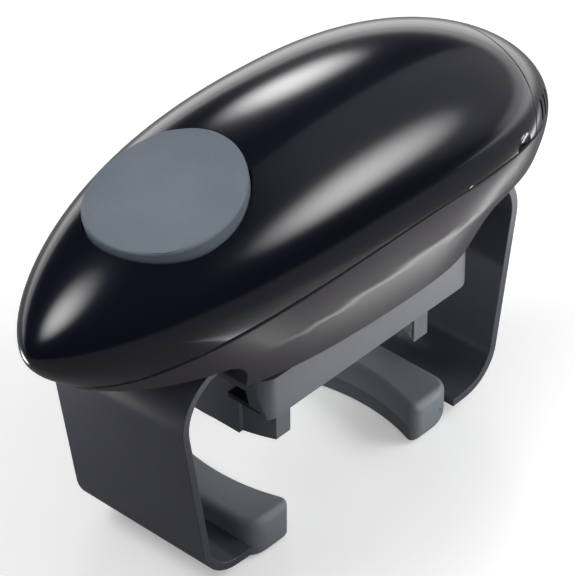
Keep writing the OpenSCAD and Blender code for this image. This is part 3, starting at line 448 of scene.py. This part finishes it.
# one formula gives the skin of the two shells and the battery cover, in millimetres
body = {
    "halfWidth": 41.1,
    "crown": 28.9,
    "belly": 38.8,
    "backCurve": (2.38, 1.58),
    "frontCurve": 2.5,
    "noseBack": 121.5,
    "noseFront": 89.0,
    "middle": (14.7, 0.0, 103.8),
    "tilt": 4.25,
    "arch": 0.00081,
    "skirtDepth": 100.0,
    "skirtFront": 0.45,         # shares of the way to the noses
    "skirtFull": 0.35,
    "skirtBack": 0.6,
    "skirtHalf": 54.0,
    "skirtFloor": 76.8,
    "undersideZ": 86.0,
    "notchRadius": 6.0,
    "wall": 2.4,
    "seamRadius": 360.0,
    "seamPlace": (8.8, 103.4),
    "seamGap": 0.05,
    "coverX": 70.8,
    "coverLean": 31.0,
    "meshCuts": 63,
    "edge": 0.28,
    "upperEdge": 0.42,
    "skinReach": 0.4,           # how near a corner lies to the skin it belongs to
    "ceiling": 140.0,           # above everything
    "chamfer": (0.55, 1.2),     # how far in, how high, along the upper shell's lower edge
    "crestDepth": 11.0,         # the soft crest of the lower shell below the seam
    "crestRise": 1.0,
    "crestSoft": 2.2,
    "crestMost": 1.4,
    "crestEnds": (-58.0, -30.0, 62.0, 84.0),
    "bossRadius": 3.4,
    "bossInset": 0.4,
    "bossGap": 0.3,             # between the seam and a boss's foot
    "holeDepth": 8,
    "holeRadius": 1.5,
    "headRadius": 2.8,
    "screws": [(-62, 22), (-62, -22), (59, 24), (59, -24)],
    "pillars": [(30, 28), (30, -28), (-30, 28), (-30, -28)],
}
button = {
    "place": (-52.8, 0.0, 129.6),
    "slope": 13.0,
    "length": 24.9,
    "width": 22.6,
    "crown": 2.7,
    "wall": 7.5,
    "gap": 0.5,
    "wellDepth": 9.9,
    "stem": 3.8,                # the well's bore
    "stemRadius": 3.5,
    "stemTop": -2.5,
    "stemReach": 4.6,           # below the well
    "skirtTaper": 0.92,
    "cuts": 40,
    "edge": 0.9,
}
bodyTurn = Matrix.Rotation(math.radians(body["tilt"]), 3, "Y")
buttonTurn = Matrix.Rotation(math.radians(-button["slope"]), 3, "Y")


def swell(share):
    # how full the body is at a share of the way to a nose
    if share < 0:
        full, sharp = body["backCurve"]
        return max(1 - (-share) ** full, 0) ** (1 / sharp)
    return max(1 - share ** body["frontCurve"], 0) ** 0.5


def skirtShare(share):
    # how much of the skirt's depth is there
    front, full, behind = body["skirtFront"], body["skirtFull"], body["skirtBack"]
    if share > 0:
        return (1 + math.cos(math.pi * share / front)) / 2 if share < front else 0
    if share > -full:
        return 1
    return (1 + math.cos(math.pi * (-share - full) / behind)) / 2 if share > -(full + behind) else 0


def lengthAt(share, inset):
    return (body["noseBack"] if share < 0 else body["noseFront"]) - inset


def liftAt(share, above, inset):
    if above:
        return body["crown"] - inset
    return body["belly"] - inset + (body["skirtDepth"] - body["belly"]) * skirtShare(share)


def eggPoint(ball, inset):
    # a point of the unit ball moved to the body's skin
    share = max(-1.0, min(1.0, ball.x))
    angle = math.atan2(ball.z, ball.y)
    fill = swell(share)
    x = share * lengthAt(share, inset)
    y = (body["halfWidth"] - inset) * fill * math.cos(angle)
    z = liftAt(share, ball.z > 0, inset) * fill * math.sin(angle) - body["arch"] * x * x
    return bodyTurn @ Vector((x, y, z)) + Vector(body["middle"])


def eggField(point, inset=0.0):
    # below 1 inside the body, above 1 outside
    local = bodyTurn.transposed() @ (point - Vector(body["middle"]))
    share = local.x / lengthAt(local.x, inset)
    z = local.z + body["arch"] * local.x * local.x
    fill = max(swell(max(-1.0, min(1.0, share))), 0.02)
    y = local.y / (body["halfWidth"] - inset)
    return ((y / fill) ** 2 + (z / liftAt(share, z > 0, inset) / fill) ** 2) ** 0.5


def seamHeight(x):
    centreX, top = body["seamPlace"]
    return top - body["seamRadius"] + math.sqrt(body["seamRadius"] ** 2 - (x - centreX) ** 2)


def overSeam(point):
    return point.z - seamHeight(point.x)


def smooth(low, high, value):
    share = max(0.0, min(1.0, (value - low) / (high - low)))
    return share * share * (3 - 2 * share)


def crest(point):
    # how far the lower shell stands out, with a soft crest along its length
    depth, soft = -overSeam(point), body["crestSoft"]
    span = seamHeight(point.x) - body["skirtFloor"]
    if depth <= 0 or depth >= span:
        return 0.0
    peak = body["crestDepth"]
    rising, falling = depth / peak, (span - depth) / (span - peak)
    blend = 1 / (1 + math.exp((depth - peak) / soft * 4))
    most = body["crestMost"]
    share = min(rising, most) * blend + min(falling, most) * (1 - blend)
    start, full, less, end = body["crestEnds"]
    ends = smooth(start, full, point.x) * (1 - smooth(less, end, point.x))
    return body["crestRise"] * share * ends


def skinSlope(point, step=0.02):
    return Vector([
        (eggField(point + step * Vector(axis)) - eggField(point - step * Vector(axis))) / (2 * step)
        for axis in ((1, 0, 0), (0, 1, 0), (0, 0, 1))
    ])


def pastCover(point):
    # distance past the slanted edge of the battery cover
    lean, height = math.radians(body["coverLean"]), point.z - seamHeight(body["coverX"])
    return (point.x - body["coverX"]) * math.cos(lean) - height * math.sin(lean)


def buttonLocal(point):
    return buttonTurn.transposed() @ (point - Vector(button["place"]))


def roundButton(point, extra=0.0):
    # distance from the button's well, about in millimetres
    local = buttonLocal(point)
    a, b = button["length"] + button["gap"] + extra, button["width"] + button["gap"] + extra
    return (math.hypot(local.x / a, local.y / b) - 1) * b


def overUnderside(point):
    # the skirt's end runs into the flat underside through a hollow corner
    reach, r, top = abs(point.x), body["notchRadius"], body["undersideZ"]
    centreX = body["skirtHalf"] + r
    if reach >= centreX:
        return point.z - top
    if point.z < top - r:
        return body["skirtHalf"] - reach
    return math.hypot(reach - centreX, point.z - top + r) - r


def cutAlong(bm, field, near=0.32):
    # puts a line of edges where field is zero; close vertices slide onto it
    value = {v: field(v.co) for v in bm.verts}

    def crossing(a, b):
        low, high = (a, b) if value[a] < 0 else (b, a)
        p, q = low.co.copy(), high.co.copy()
        for _ in range(12):
            half = (p + q) / 2
            if field(half) < 0:
                p = half
            else:
                q = half
        return (p + q) / 2

    moves = {}
    for edge in bm.edges:
        a, b = edge.verts
        if value[a] * value[b] < 0:
            point = crossing(a, b)
            for v in (a, b):
                share = (point - v.co).length / edge.calc_length()
                if share < near and share < moves.get(v, (1,))[0]:
                    moves[v] = (share, point)
    for v, (share, point) in moves.items():
        v.co = point
        value[v] = 0
    onLine = [v for v in bm.verts if abs(value[v]) < 1e-6]
    for edge in list(bm.edges):
        a, b = edge.verts
        if value[a] * value[b] < 0 and abs(value[a]) > 1e-6 and abs(value[b]) > 1e-6:
            point = crossing(a, b)
            share = (point - a.co).length / max(edge.calc_length(), 1e-9)
            v = bmesh.utils.edge_split(edge, a, share)[1]
            v.co = point
            value[v] = 0
            onLine.append(v)
    bmesh.ops.connect_verts(bm, verts=list(set(onLine)))


def drop(bm, unwanted):
    # deletes the faces whose middle is unwanted
    faces = [f for f in bm.faces if unwanted(f.calc_center_median())]
    bmesh.ops.delete(bm, geom=faces, context="FACES")


def halfEgg(inset=0.0, cuts=None):
    # the body's skin on the +Y side
    bm = bmesh.new()
    bmesh.ops.create_cube(bm, size=2)
    bmesh.ops.subdivide_edges(bm, edges=bm.edges, cuts=cuts or body["meshCuts"], use_grid_fill=True)
    for v in bm.verts:
        v.co = Vector([math.tan(c * math.pi / 4) for c in v.co]).normalized()
    drop(bm, lambda p: p.y < 0)
    for v in bm.verts:
        flat = abs(v.co.y) < 1e-5
        v.co = eggPoint(v.co, inset)
        if flat:
            v.co.y = 0
    return bm


def openEdges(bm, wanted):
    return [e for e in bm.edges if e.is_boundary and wanted((e.verts[0].co + e.verts[1].co) / 2)]


def pull(bm, edges, move):
    # extrudes open edges and places the new vertices; gives the new outer edges
    made = bmesh.ops.extrude_edge_only(bm, edges=edges)["geom"]
    fresh = [g for g in made if isinstance(g, bmesh.types.BMVert)]
    for v in fresh:
        v.co = move(v.co)
    chosen = set(fresh)
    return [g for g in made if isinstance(g, bmesh.types.BMEdge) and all(v in chosen for v in g.verts)]


def mirrored(bm):
    geom = bm.verts[:] + bm.edges[:] + bm.faces[:]
    bmesh.ops.mirror(bm, geom=geom, matrix=Matrix.Identity(4), merge_dist=0.002, axis="Y")
    bmesh.ops.remove_doubles(bm, verts=bm.verts, dist=0.002)
    bmesh.ops.recalc_face_normals(bm, faces=bm.faces)


def addRod(bm, place, radius, low, high, sides=40):
    made = bmesh.ops.create_cone(
        bm, cap_ends=True, segments=sides, radius1=radius, radius2=radius, depth=high - low,
        matrix=Matrix.Translation((place[0], place[1], (low + high) / 2)),
    )
    return made["verts"]


def addBox(bm, low, high):
    size = [h - l for l, h in zip(low, high)]
    middle = [(l + h) / 2 for l, h in zip(low, high)]
    made = bmesh.ops.create_cube(bm, size=1, matrix=Matrix.Translation(middle) @ Matrix.Diagonal((*size, 1)))
    return made["verts"]


def shellWalls(bm, name, width):
    # inner wall and rounded edges
    return withModifiers(
        meshOf(bm, name),
        ("SOLIDIFY", {
            "thickness": body["wall"] * mm, "offset": -1, "use_even_offset": True, "use_quality_normals": True,
        }),
        ("BEVEL", {
            "width": width * mm, "segments": 3, "limit_method": "ANGLE", "angle_limit": math.radians(38),
            "use_clamp_overlap": False, "harden_normals": False, "miter_outer": "MITER_ARC",
        }),
    )


def carve(mesh, cutters, operation="DIFFERENCE"):
    # takes closed cutters out of a mesh in metres, or joins them to it
    # the cutters are a mesh in metres or a bmesh in millimetres
    if isinstance(cutters, bmesh.types.BMesh):
        bmesh.ops.recalc_face_normals(cutters, faces=cutters.faces)
        cutters = meshOf(cutters, "cutter")
    holder = bpy.data.objects.new("cutter", cutters)
    bpy.context.scene.collection.objects.link(holder)
    settings = {"object": holder, "operation": operation, "solver": "MANIFOLD"}
    result = withModifiers(mesh, ("BOOLEAN", settings))
    bpy.data.objects.remove(holder)
    return result


def polish(piece, tolerance=14, rise=None):
    # corners on the body's skin get the true skin's direction, so cuts leave no trace in the gloss
    mesh = piece.data
    normals = [Vector(c.vector) for c in mesh.corner_normals]
    limit = math.cos(math.radians(tolerance))
    known = {}

    def direction(p):
        slope = skinSlope(p)
        steep = slope.length
        if steep < 1e-7:
            return None
        off = (eggField(p) - 1) / steep
        if rise:
            off -= rise(p)
            step = 0.05
            lean = Vector([
                (rise(p + step * Vector(axis)) - rise(p - step * Vector(axis))) / (2 * step)
                for axis in ((1, 0, 0), (0, 1, 0), (0, 0, 1))
            ])
            slope = slope / steep - lean
        return slope.normalized() if abs(off) < body["skinReach"] else None

    for face in mesh.polygons:
        for corner in face.loop_indices:
            index = mesh.loops[corner].vertex_index
            if index not in known:
                known[index] = direction(mesh.vertices[index].co / mm)
            skin = known[index]
            if skin is not None and skin.dot(face.normal) > limit:
                normals[corner] = skin
    mesh.normals_split_custom_set(normals)


def skinY(x, z):
    # half width of the body at a place
    low, high = 0.0, body["halfWidth"] + 2
    for _ in range(20):
        y = (low + high) / 2
        if eggField(Vector((x, y, z))) < 1:
            low = y
        else:
            high = y
    return low


cover = {
    "scoopRadius": 12.0,
    "scoopBack": 5.0,
    "scoopY": 46.8,
    "scoopRise": 2,
    "slots": 3,
    "slotStart": 9.0,
    "slotStep": 4.0,
    "slotHalf": 3.0,
    "slotWidth": 1.5,
    "slotDepth": 1.5,
    "slotLean": 21.0,
    "slotRise": 4,
    "cutterLength": 12,
    "wall": (83.95, 85.35),
    "wallInset": 1.2,
    "wallCuts": 31,
    "tongue": (15, 25),         # from y, to y
    # inset, thickness, start and end past the cover's edge
    "tongueParts": ((3.8, 1.4, -2, 3), (1.2, 4.0, 1, 3)),
    "tongueFoot": 3,
}


def scoopCutters():
    bm = bmesh.new()
    x = body["coverX"] - cover["scoopBack"]
    for side in (-1, 1):
        place = Matrix.Translation((x, side * cover["scoopY"], seamHeight(x) + cover["scoopRise"]))
        bmesh.ops.create_uvsphere(
            bm, u_segments=128, v_segments=96, radius=cover["scoopRadius"], matrix=place,
        )
    return bm


def slotCutters():
    bm = bmesh.new()
    lean = Matrix.Rotation(math.radians(cover["slotLean"]), 4, "Y")
    length, radius = cover["cutterLength"], cover["slotWidth"] / 2
    for index in range(cover["slots"]):
        x = body["coverX"] + cover["slotStart"] + index * cover["slotStep"]
        z = seamHeight(body["coverX"]) + cover["slotRise"] - index
        y = skinY(x, z) - cover["slotDepth"]
        for side in (-1, 1):
            made = bmesh.ops.create_cone(
                bm, cap_ends=True, segments=32, radius1=radius, radius2=radius, depth=length,
            )["verts"]
            bmesh.ops.rotate(bm, verts=made, cent=(0, 0, 0), matrix=Matrix.Rotation(math.pi / 2, 3, "X"))
            for v in made:     # the round rod is pulled out to a slot
                v.co.z += -cover["slotHalf"] if v.co.z < -1e-4 else cover["slotHalf"]
            place = Matrix.Translation((x, side * (y + length / 2), z))
            bmesh.ops.transform(bm, matrix=place @ lean, verts=made)
    bmesh.ops.recalc_face_normals(bm, faces=bm.faces)
    return bm


def chamferRim(bm):
    # the lower edge of the upper shells leans in
    inset, height = body["chamfer"]
    cutAlong(bm, lambda p: overSeam(p) - height)
    for v in bm.verts:
        if abs(overSeam(v.co) - body["seamGap"]) < 0.03:
            y = v.co.y
            v.co -= skinSlope(v.co).normalized() * inset
            if y < 1e-4:
                v.co.y = 0


def bossTop(place):
    # height at which a boss ends inside the skin above it
    r = body["bossRadius"]
    tops = []
    for x, y in ((0, 0), (r, 0), (-r, 0), (0, r), (0, -r)):
        low, high = body["undersideZ"] + 5, body["ceiling"]
        for _ in range(20):
            z = (low + high) / 2
            if eggField(Vector((place[0] + x, place[1] + y, z)), body["bossInset"]) < 1:
                low = z
            else:
                high = z
        tops.append(low)
    return min(tops)


def makeUpperShell():
    bm = halfEgg()
    cutAlong(bm, lambda p: overSeam(p) - body["seamGap"])
    drop(bm, lambda p: overSeam(p) < body["seamGap"])
    chamferRim(bm)
    cutAlong(bm, pastCover)
    drop(bm, lambda p: pastCover(p) > 0)
    cutAlong(bm, lambda p: roundButton(p) if p.z > 100 else 50.0)
    drop(bm, lambda p: p.z > 100 and roundButton(p) < 0)
    depth = -button["wellDepth"]

    def toDepth(point, share=1.0):
        local = buttonLocal(point)
        return buttonTurn @ Vector((local.x * share, local.y * share, depth)) + Vector(button["place"])

    def toStem(point):
        local = buttonLocal(point)
        flat = Vector((local.x, local.y, 0)).normalized() * button["stem"]
        return buttonTurn @ Vector((flat.x, flat.y, depth)) + Vector(button["place"])

    rim = openEdges(bm, lambda p: abs(roundButton(p)) < 0.25 and p.z > 100 and p.y > 0.001)
    wall = pull(bm, rim, toDepth)
    pull(bm, wall, toStem)
    mirrored(bm)
    mesh = carve(shellWalls(bm, "upperShell", body["upperEdge"]), scoopCutters())
    bosses, holes = bmesh.new(), bmesh.new()
    for place in body["screws"]:
        foot = seamHeight(place[0]) + body["bossGap"]
        addRod(bosses, place, body["bossRadius"], foot, bossTop(place))
        addRod(holes, place, body["holeRadius"], foot - 1, foot + body["holeDepth"])
    mesh = carve(carve(mesh, bosses, "UNION"), holes)
    piece = finishPiece(mesh, "upperShell", "black", "body", ["upper_shell"])
    polish(piece)
    return piece


def coverWall():
    # upright wall behind the end contact
    bm, block = halfEgg(cover["wallInset"], cover["wallCuts"]), bmesh.new()
    mirrored(bm)
    near, far = cover["wall"]
    half = body["halfWidth"] + 4
    addBox(block, (near, -half, seamHeight(near) + 0.1), (far, half, body["ceiling"]))
    return carve(meshOf(bm, "coverWall"), block, "INTERSECT")


def tongues(inset, thickness, start, end):
    # two curved tongues that slide under the upper shell's edge
    near, far = cover["tongue"]
    bm = halfEgg(inset)
    for field in (lambda p: pastCover(p) - start, lambda p: pastCover(p) - end,
                  lambda p: p.y - near, lambda p: p.y - far, lambda p: overSeam(p) - cover["tongueFoot"]):
        cutAlong(bm, field)
    drop(bm, lambda p: not (start < pastCover(p) < end and near < p.y < far and overSeam(p) > cover["tongueFoot"]))
    mirrored(bm)
    return withModifiers(meshOf(bm, "tongues"), ("SOLIDIFY", {"thickness": thickness * mm, "offset": -1}))


def makeBatteryCover():
    bm = halfEgg()
    cutAlong(bm, lambda p: overSeam(p) - body["seamGap"])
    drop(bm, lambda p: overSeam(p) < body["seamGap"])
    chamferRim(bm)
    cutAlong(bm, lambda p: pastCover(p) - 0.1)
    drop(bm, lambda p: pastCover(p) < 0.1)
    mirrored(bm)
    mesh = carve(shellWalls(bm, "batteryCover", body["edge"]), slotCutters())
    mesh = carve(mesh, coverWall(), "UNION")
    for part in cover["tongueParts"]:
        mesh = carve(mesh, tongues(*part), "UNION")
    piece = finishPiece(mesh, "batteryCover", "black", "cover", ["battery_cover"])
    polish(piece)
    return piece


fitting = {
    "pillarRadius": 3.0,
    "pillarTop": 91.25,
    "hubRadius": 22.0,
    "hubFoot": 72.4,
    "hubBore": 8.56,
    "railY": 21.9,
    "railWidth": 2.0,
    "railHalf": 34.0,
    "railTop": 84.2,
    "slot": (46.0, 66.0, 26.3, 79.0, 84.5),     # from x, to x, half width, from z, to z
    "headDepth": 88.0,
    "holeTop": 110,
}


def lowerFittings():
    # bosses, pillars, rails and the hub's collar
    bm = bmesh.new()
    addRod(bm, (0, 0), fitting["hubRadius"], fitting["hubFoot"], body["skirtFloor"] + 0.4, 96)
    for place in body["screws"]:
        addRod(bm, place, body["bossRadius"], body["undersideZ"] + 0.6, seamHeight(place[0]) - 0.6)
    for place in body["pillars"]:
        addRod(bm, place, fitting["pillarRadius"], body["skirtFloor"] + 0.6, fitting["pillarTop"])
    for side in (-1, 1):
        near = side * fitting["railY"]
        far = side * (fitting["railY"] + fitting["railWidth"])
        addBox(bm, (-fitting["railHalf"], min(near, far), body["skirtFloor"] + 0.6),
               (fitting["railHalf"], max(near, far), fitting["railTop"]))
    return bm


def lowerHoles():
    # the hub's bore, the arms' slots and the counterbored screw holes
    bm = bmesh.new()
    addRod(bm, (0, 0), fitting["hubBore"], fitting["hubFoot"] - 2, body["undersideZ"], 96)
    near, far, half, low, high = fitting["slot"]
    addBox(bm, (near, -half, low), (far, half, high))
    addBox(bm, (-far, -half, low), (-near, half, high))
    for place in body["screws"]:
        addRod(bm, place, body["headRadius"], body["undersideZ"] - 4, fitting["headDepth"])
        addRod(bm, place, body["holeRadius"], fitting["headDepth"] - 0.5, fitting["holeTop"])
    return bm


def makeLowerShell():
    bm = halfEgg()
    cutAlong(bm, lambda p: overSeam(p) + body["seamGap"])
    drop(bm, lambda p: overSeam(p) > -body["seamGap"])
    for side in (-1, 1):
        cutAlong(bm, lambda p: p.x - side * body["skirtHalf"])
    cutAlong(bm, lambda p: p.z - body["skirtFloor"])
    drop(bm, lambda p: p.z < body["skirtFloor"])
    cutAlong(bm, lambda p: overUnderside(p) if abs(p.x) > body["skirtHalf"] - 1e-4 else 5.0)
    drop(bm, lambda p: abs(p.x) > body["skirtHalf"] + 1e-4 and overUnderside(p) < 0)
    bottom = openEdges(bm, lambda p: overSeam(p) < -0.6 and p.y > 0.001)
    moves = {v: skinSlope(v.co).normalized() * crest(v.co) for v in bm.verts if v.co.y > 1}
    for v, move in moves.items():
        v.co += Vector((move.x, move.y, 0))
    pull(bm, bottom, lambda p: Vector((p.x, 0, p.z)))
    mirrored(bm)
    mesh = shellWalls(bm, "lowerShell", body["edge"])
    mesh = carve(mesh, lowerFittings(), "UNION")
    mesh = carve(mesh, lowerHoles())
    piece = finishPiece(mesh, "lowerShell", "dark", "body", ["lower_shell"])
    polish(piece, rise=crest)
    return piece


upperShell = makeUpperShell()
batteryCover = makeBatteryCover()
lowerShell = makeLowerShell()
print("body shells:", *[len(piece.data.polygons) for piece in (upperShell, batteryCover, lowerShell)])


def makeButton():
    bm = bmesh.new()
    bmesh.ops.create_grid(bm, x_segments=button["cuts"], y_segments=button["cuts"], size=1)
    curve = (button["width"] ** 2 + button["crown"] ** 2) / (2 * button["crown"])
    for v in bm.verts:
        x, y = v.co.x, v.co.y
        x, y = x * math.sqrt(1 - y * y / 2), y * math.sqrt(1 - x * x / 2)
        y *= button["width"]
        v.co = Vector((x * button["length"], y, math.sqrt(curve * curve - y * y) - curve))
    rim, taper = openEdges(bm, lambda p: True), button["skirtTaper"]

    def ends(edge):
        return tuple(sorted(tuple(v.co) for v in edge.verts))

    rimEnds = {ends(e) for e in rim}
    wall = pull(bm, rim, lambda p: Vector((p.x, p.y, -button["wall"])))
    pull(bm, wall, lambda p: Vector((p.x * taper, p.y * taper, p.z)))
    edges = [e for e in bm.edges if ends(e) in rimEnds]
    bmesh.ops.bevel(
        bm, geom=edges, offset=button["edge"], offset_type="OFFSET", segments=4, profile=0.5,
        affect="EDGES", clamp_overlap=False, material=-1,
    )
    depth = button["wellDepth"] + button["stemReach"]
    addRod(bm, (0, 0), button["stemRadius"], -depth, button["stemTop"])
    bmesh.ops.recalc_face_normals(bm, faces=bm.faces)
    place = Matrix.Translation(button["place"]) @ buttonTurn.to_4x4()
    bmesh.ops.transform(bm, matrix=place, verts=bm.verts)
    return finishPiece(meshOf(bm, "buttonCap"), "buttonCap", "button", "button", ["button_cap"], 50)


makeButton()
print("button ready")


pad = {
    "back": 46.0,
    "face": 32.7,
    "hollow": 66.0,
    "halfWidth": 26.0,
    "height": 15.2,
    "backCorner": 7.0,
    "hornCorner": 3.0,
    "foot": 4.6,
    "top": 2.6,
    "innerEdge": 1.5,
    "partingZ": 6.4,
    "ridge": 0.16,
    "ridgeHalf": 0.25,
    "tip": 0.004,               # how far the last section stays from the pad's end
    "stations": 64,
    "roundSteps": 6,
}


def padSpan(y):
    # nearest and farthest place of a pad along X, at a distance y from its middle
    y = abs(y)
    centre, r, corner = pad["face"] - pad["hollow"], pad["hollow"], pad["hornCorner"]
    hornY = pad["halfWidth"] - corner
    hornX = centre + math.sqrt((r + corner) ** 2 - hornY ** 2)
    if y < hornY * r / (r + corner):
        near = centre + math.sqrt(r * r - y * y)
    else:
        near = hornX - math.sqrt(max(corner ** 2 - (y - hornY) ** 2, 0))
    past = max(y - (pad["halfWidth"] - pad["backCorner"]), 0)
    return near, pad["back"] - pad["backCorner"] + math.sqrt(max(pad["backCorner"] ** 2 - past ** 2, 0))


def padSection(y):
    # points round a pad at one place along its width, with rounded corners and a fine mould ridge
    near, far = padSpan(y)

    def ends(radius):
        past = max(abs(y) - (pad["halfWidth"] - radius), 0)
        return radius - math.sqrt(max(radius ** 2 - past ** 2, 0))

    low, high = ends(pad["foot"]), pad["height"] - ends(pad["top"])
    points = []
    inner, steps = pad["innerEdge"], pad["roundSteps"]
    corners = [
        (near, low, inner, 180), (far, low, pad["foot"], 270),
        (far, high, pad["top"], 0), (near, high, inner, 90),
    ]
    fit = min((far - near) / 2, (high - low) / 2) * 0.98
    for index, (x, z, radius, start) in enumerate(corners):
        radius = min(radius, fit if radius < 3 else (far - near) * 0.6, (high - low) * 0.6)
        turnX, turnZ = (1 if x == near else -1), (1 if z == low else -1)
        for step in range(steps + 1):
            angle = math.radians(start + 90 * step / steps)
            points.append((
                x + turnX * radius + radius * math.cos(angle),
                z + turnZ * radius + radius * math.sin(angle),
            ))
        if index in (1, 3):     # up the back, then down the face, over the ridge
            side, way = (far, 1) if index == 1 else (near, -1)
            for offset, rise in ((-pad["ridgeHalf"], 0), (0, pad["ridge"]), (pad["ridgeHalf"], 0)):
                z = pad["partingZ"] + way * offset
                z = min(max(z, low + (high - low) * 0.35 + way * offset), high)
                points.append((side + way * rise * min(1, (high - low) / 12), z))
    return points


def makePad(name, side):
    # one closed outline is pulled from end to end, section by section
    bm = bmesh.new()
    half, count = pad["halfWidth"], pad["stations"]
    places = [-half * math.cos(math.pi * k / count) for k in range(count + 1)]
    places[0], places[-1] = -half + pad["tip"], half - pad["tip"]
    ring = [bm.verts.new((x, places[0], z)) for x, z in padSection(places[0])]
    for a, b in zip(ring, ring[1:] + ring[:1]):
        bm.edges.new((a, b))
    edges = list(bm.edges)
    for y in places[1:]:
        section = padSection(y)
        made = bmesh.ops.extrude_edge_only(bm, edges=edges)["geom"]
        fresh = [g for g in made if isinstance(g, bmesh.types.BMVert)]
        order = {v: k for k, v in enumerate(ring)}
        partner = {}
        for g in made:
            if isinstance(g, bmesh.types.BMFace):
                for e in g.edges:
                    a, b = e.verts
                    if (a in order) != (b in order):
                        partner[a if a in order else b] = b if a in order else a
        ring = [partner[v] for v in ring]
        for v, (x, z) in zip(ring, section):
            v.co = (x, y, z)
        chosen = set(fresh)
        edges = [g for g in made if isinstance(g, bmesh.types.BMEdge) and all(v in chosen for v in g.verts)]
    bmesh.ops.holes_fill(bm, edges=[e for e in bm.edges if e.is_boundary])
    bmesh.ops.remove_doubles(bm, verts=bm.verts, dist=pad["tip"])
    bmesh.ops.recalc_face_normals(bm, faces=bm.faces)
    if side < 0:
        bmesh.ops.rotate(bm, verts=bm.verts, cent=(0, 0, 0), matrix=Matrix.Rotation(math.pi, 3, "Z"))
    return finishPiece(meshOf(bm, name), name + "Soft", "pad", nodes[name]["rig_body"], [name], 50)


arm = {"edge": 0.7, "sharp": 45, "steps": 3, "outsideX": 50.5}
carriage = {"edge": 0.35, "sharp": 30, "top": 72.5}
jaw = {"edge": 0.4, "sharp": 50, "top": 57}

makePad("pad_left", -1)
makePad("pad_right", 1)
for name in ("arm_left", "arm_right"):
    softCopy(name, "arm", arm["edge"], arm["sharp"], lambda p: abs(p.x) > arm["outsideX"], arm["steps"])
softCopy("carriage", "bar", carriage["edge"], carriage["sharp"], lambda p: p.z < carriage["top"])
for name in ("jaw_left", "jaw_right"):
    softCopy(name, "bar", jaw["edge"], jaw["sharp"], lambda p: p.z < jaw["top"])
print("arms, pads, carriage and jaws ready")


# the inner pieces keep their CAD shape
for names, paint in {
    "carriage_cover": "jaw",
    "hub_ring grip_plate_left grip_plate_right": "grip",
    "cover_contact button_spring contact_spring contact_plates shell_screws chassis_screws carriage_screws "
    "gear_axle_1 gear_axle_2 motor_pinion": "spring",
    "motor": "motor",
    "switch_body switch_plunger switch_bracket chassis_plate motor_plate battery_tray": "inner",
    "arm_pinion ring_gear planet_carrier planet_gear_1 planet_gear_2 planet_gear_3 sun_gear main_gear "
    "reduction_gear_1 reduction_gear_2 jaw_pinion": "gear",
    "battery_cell_left battery_cell_right": "cell",
}.items():
    for name in names.split():
        dress(name, paint)
print("materials given")
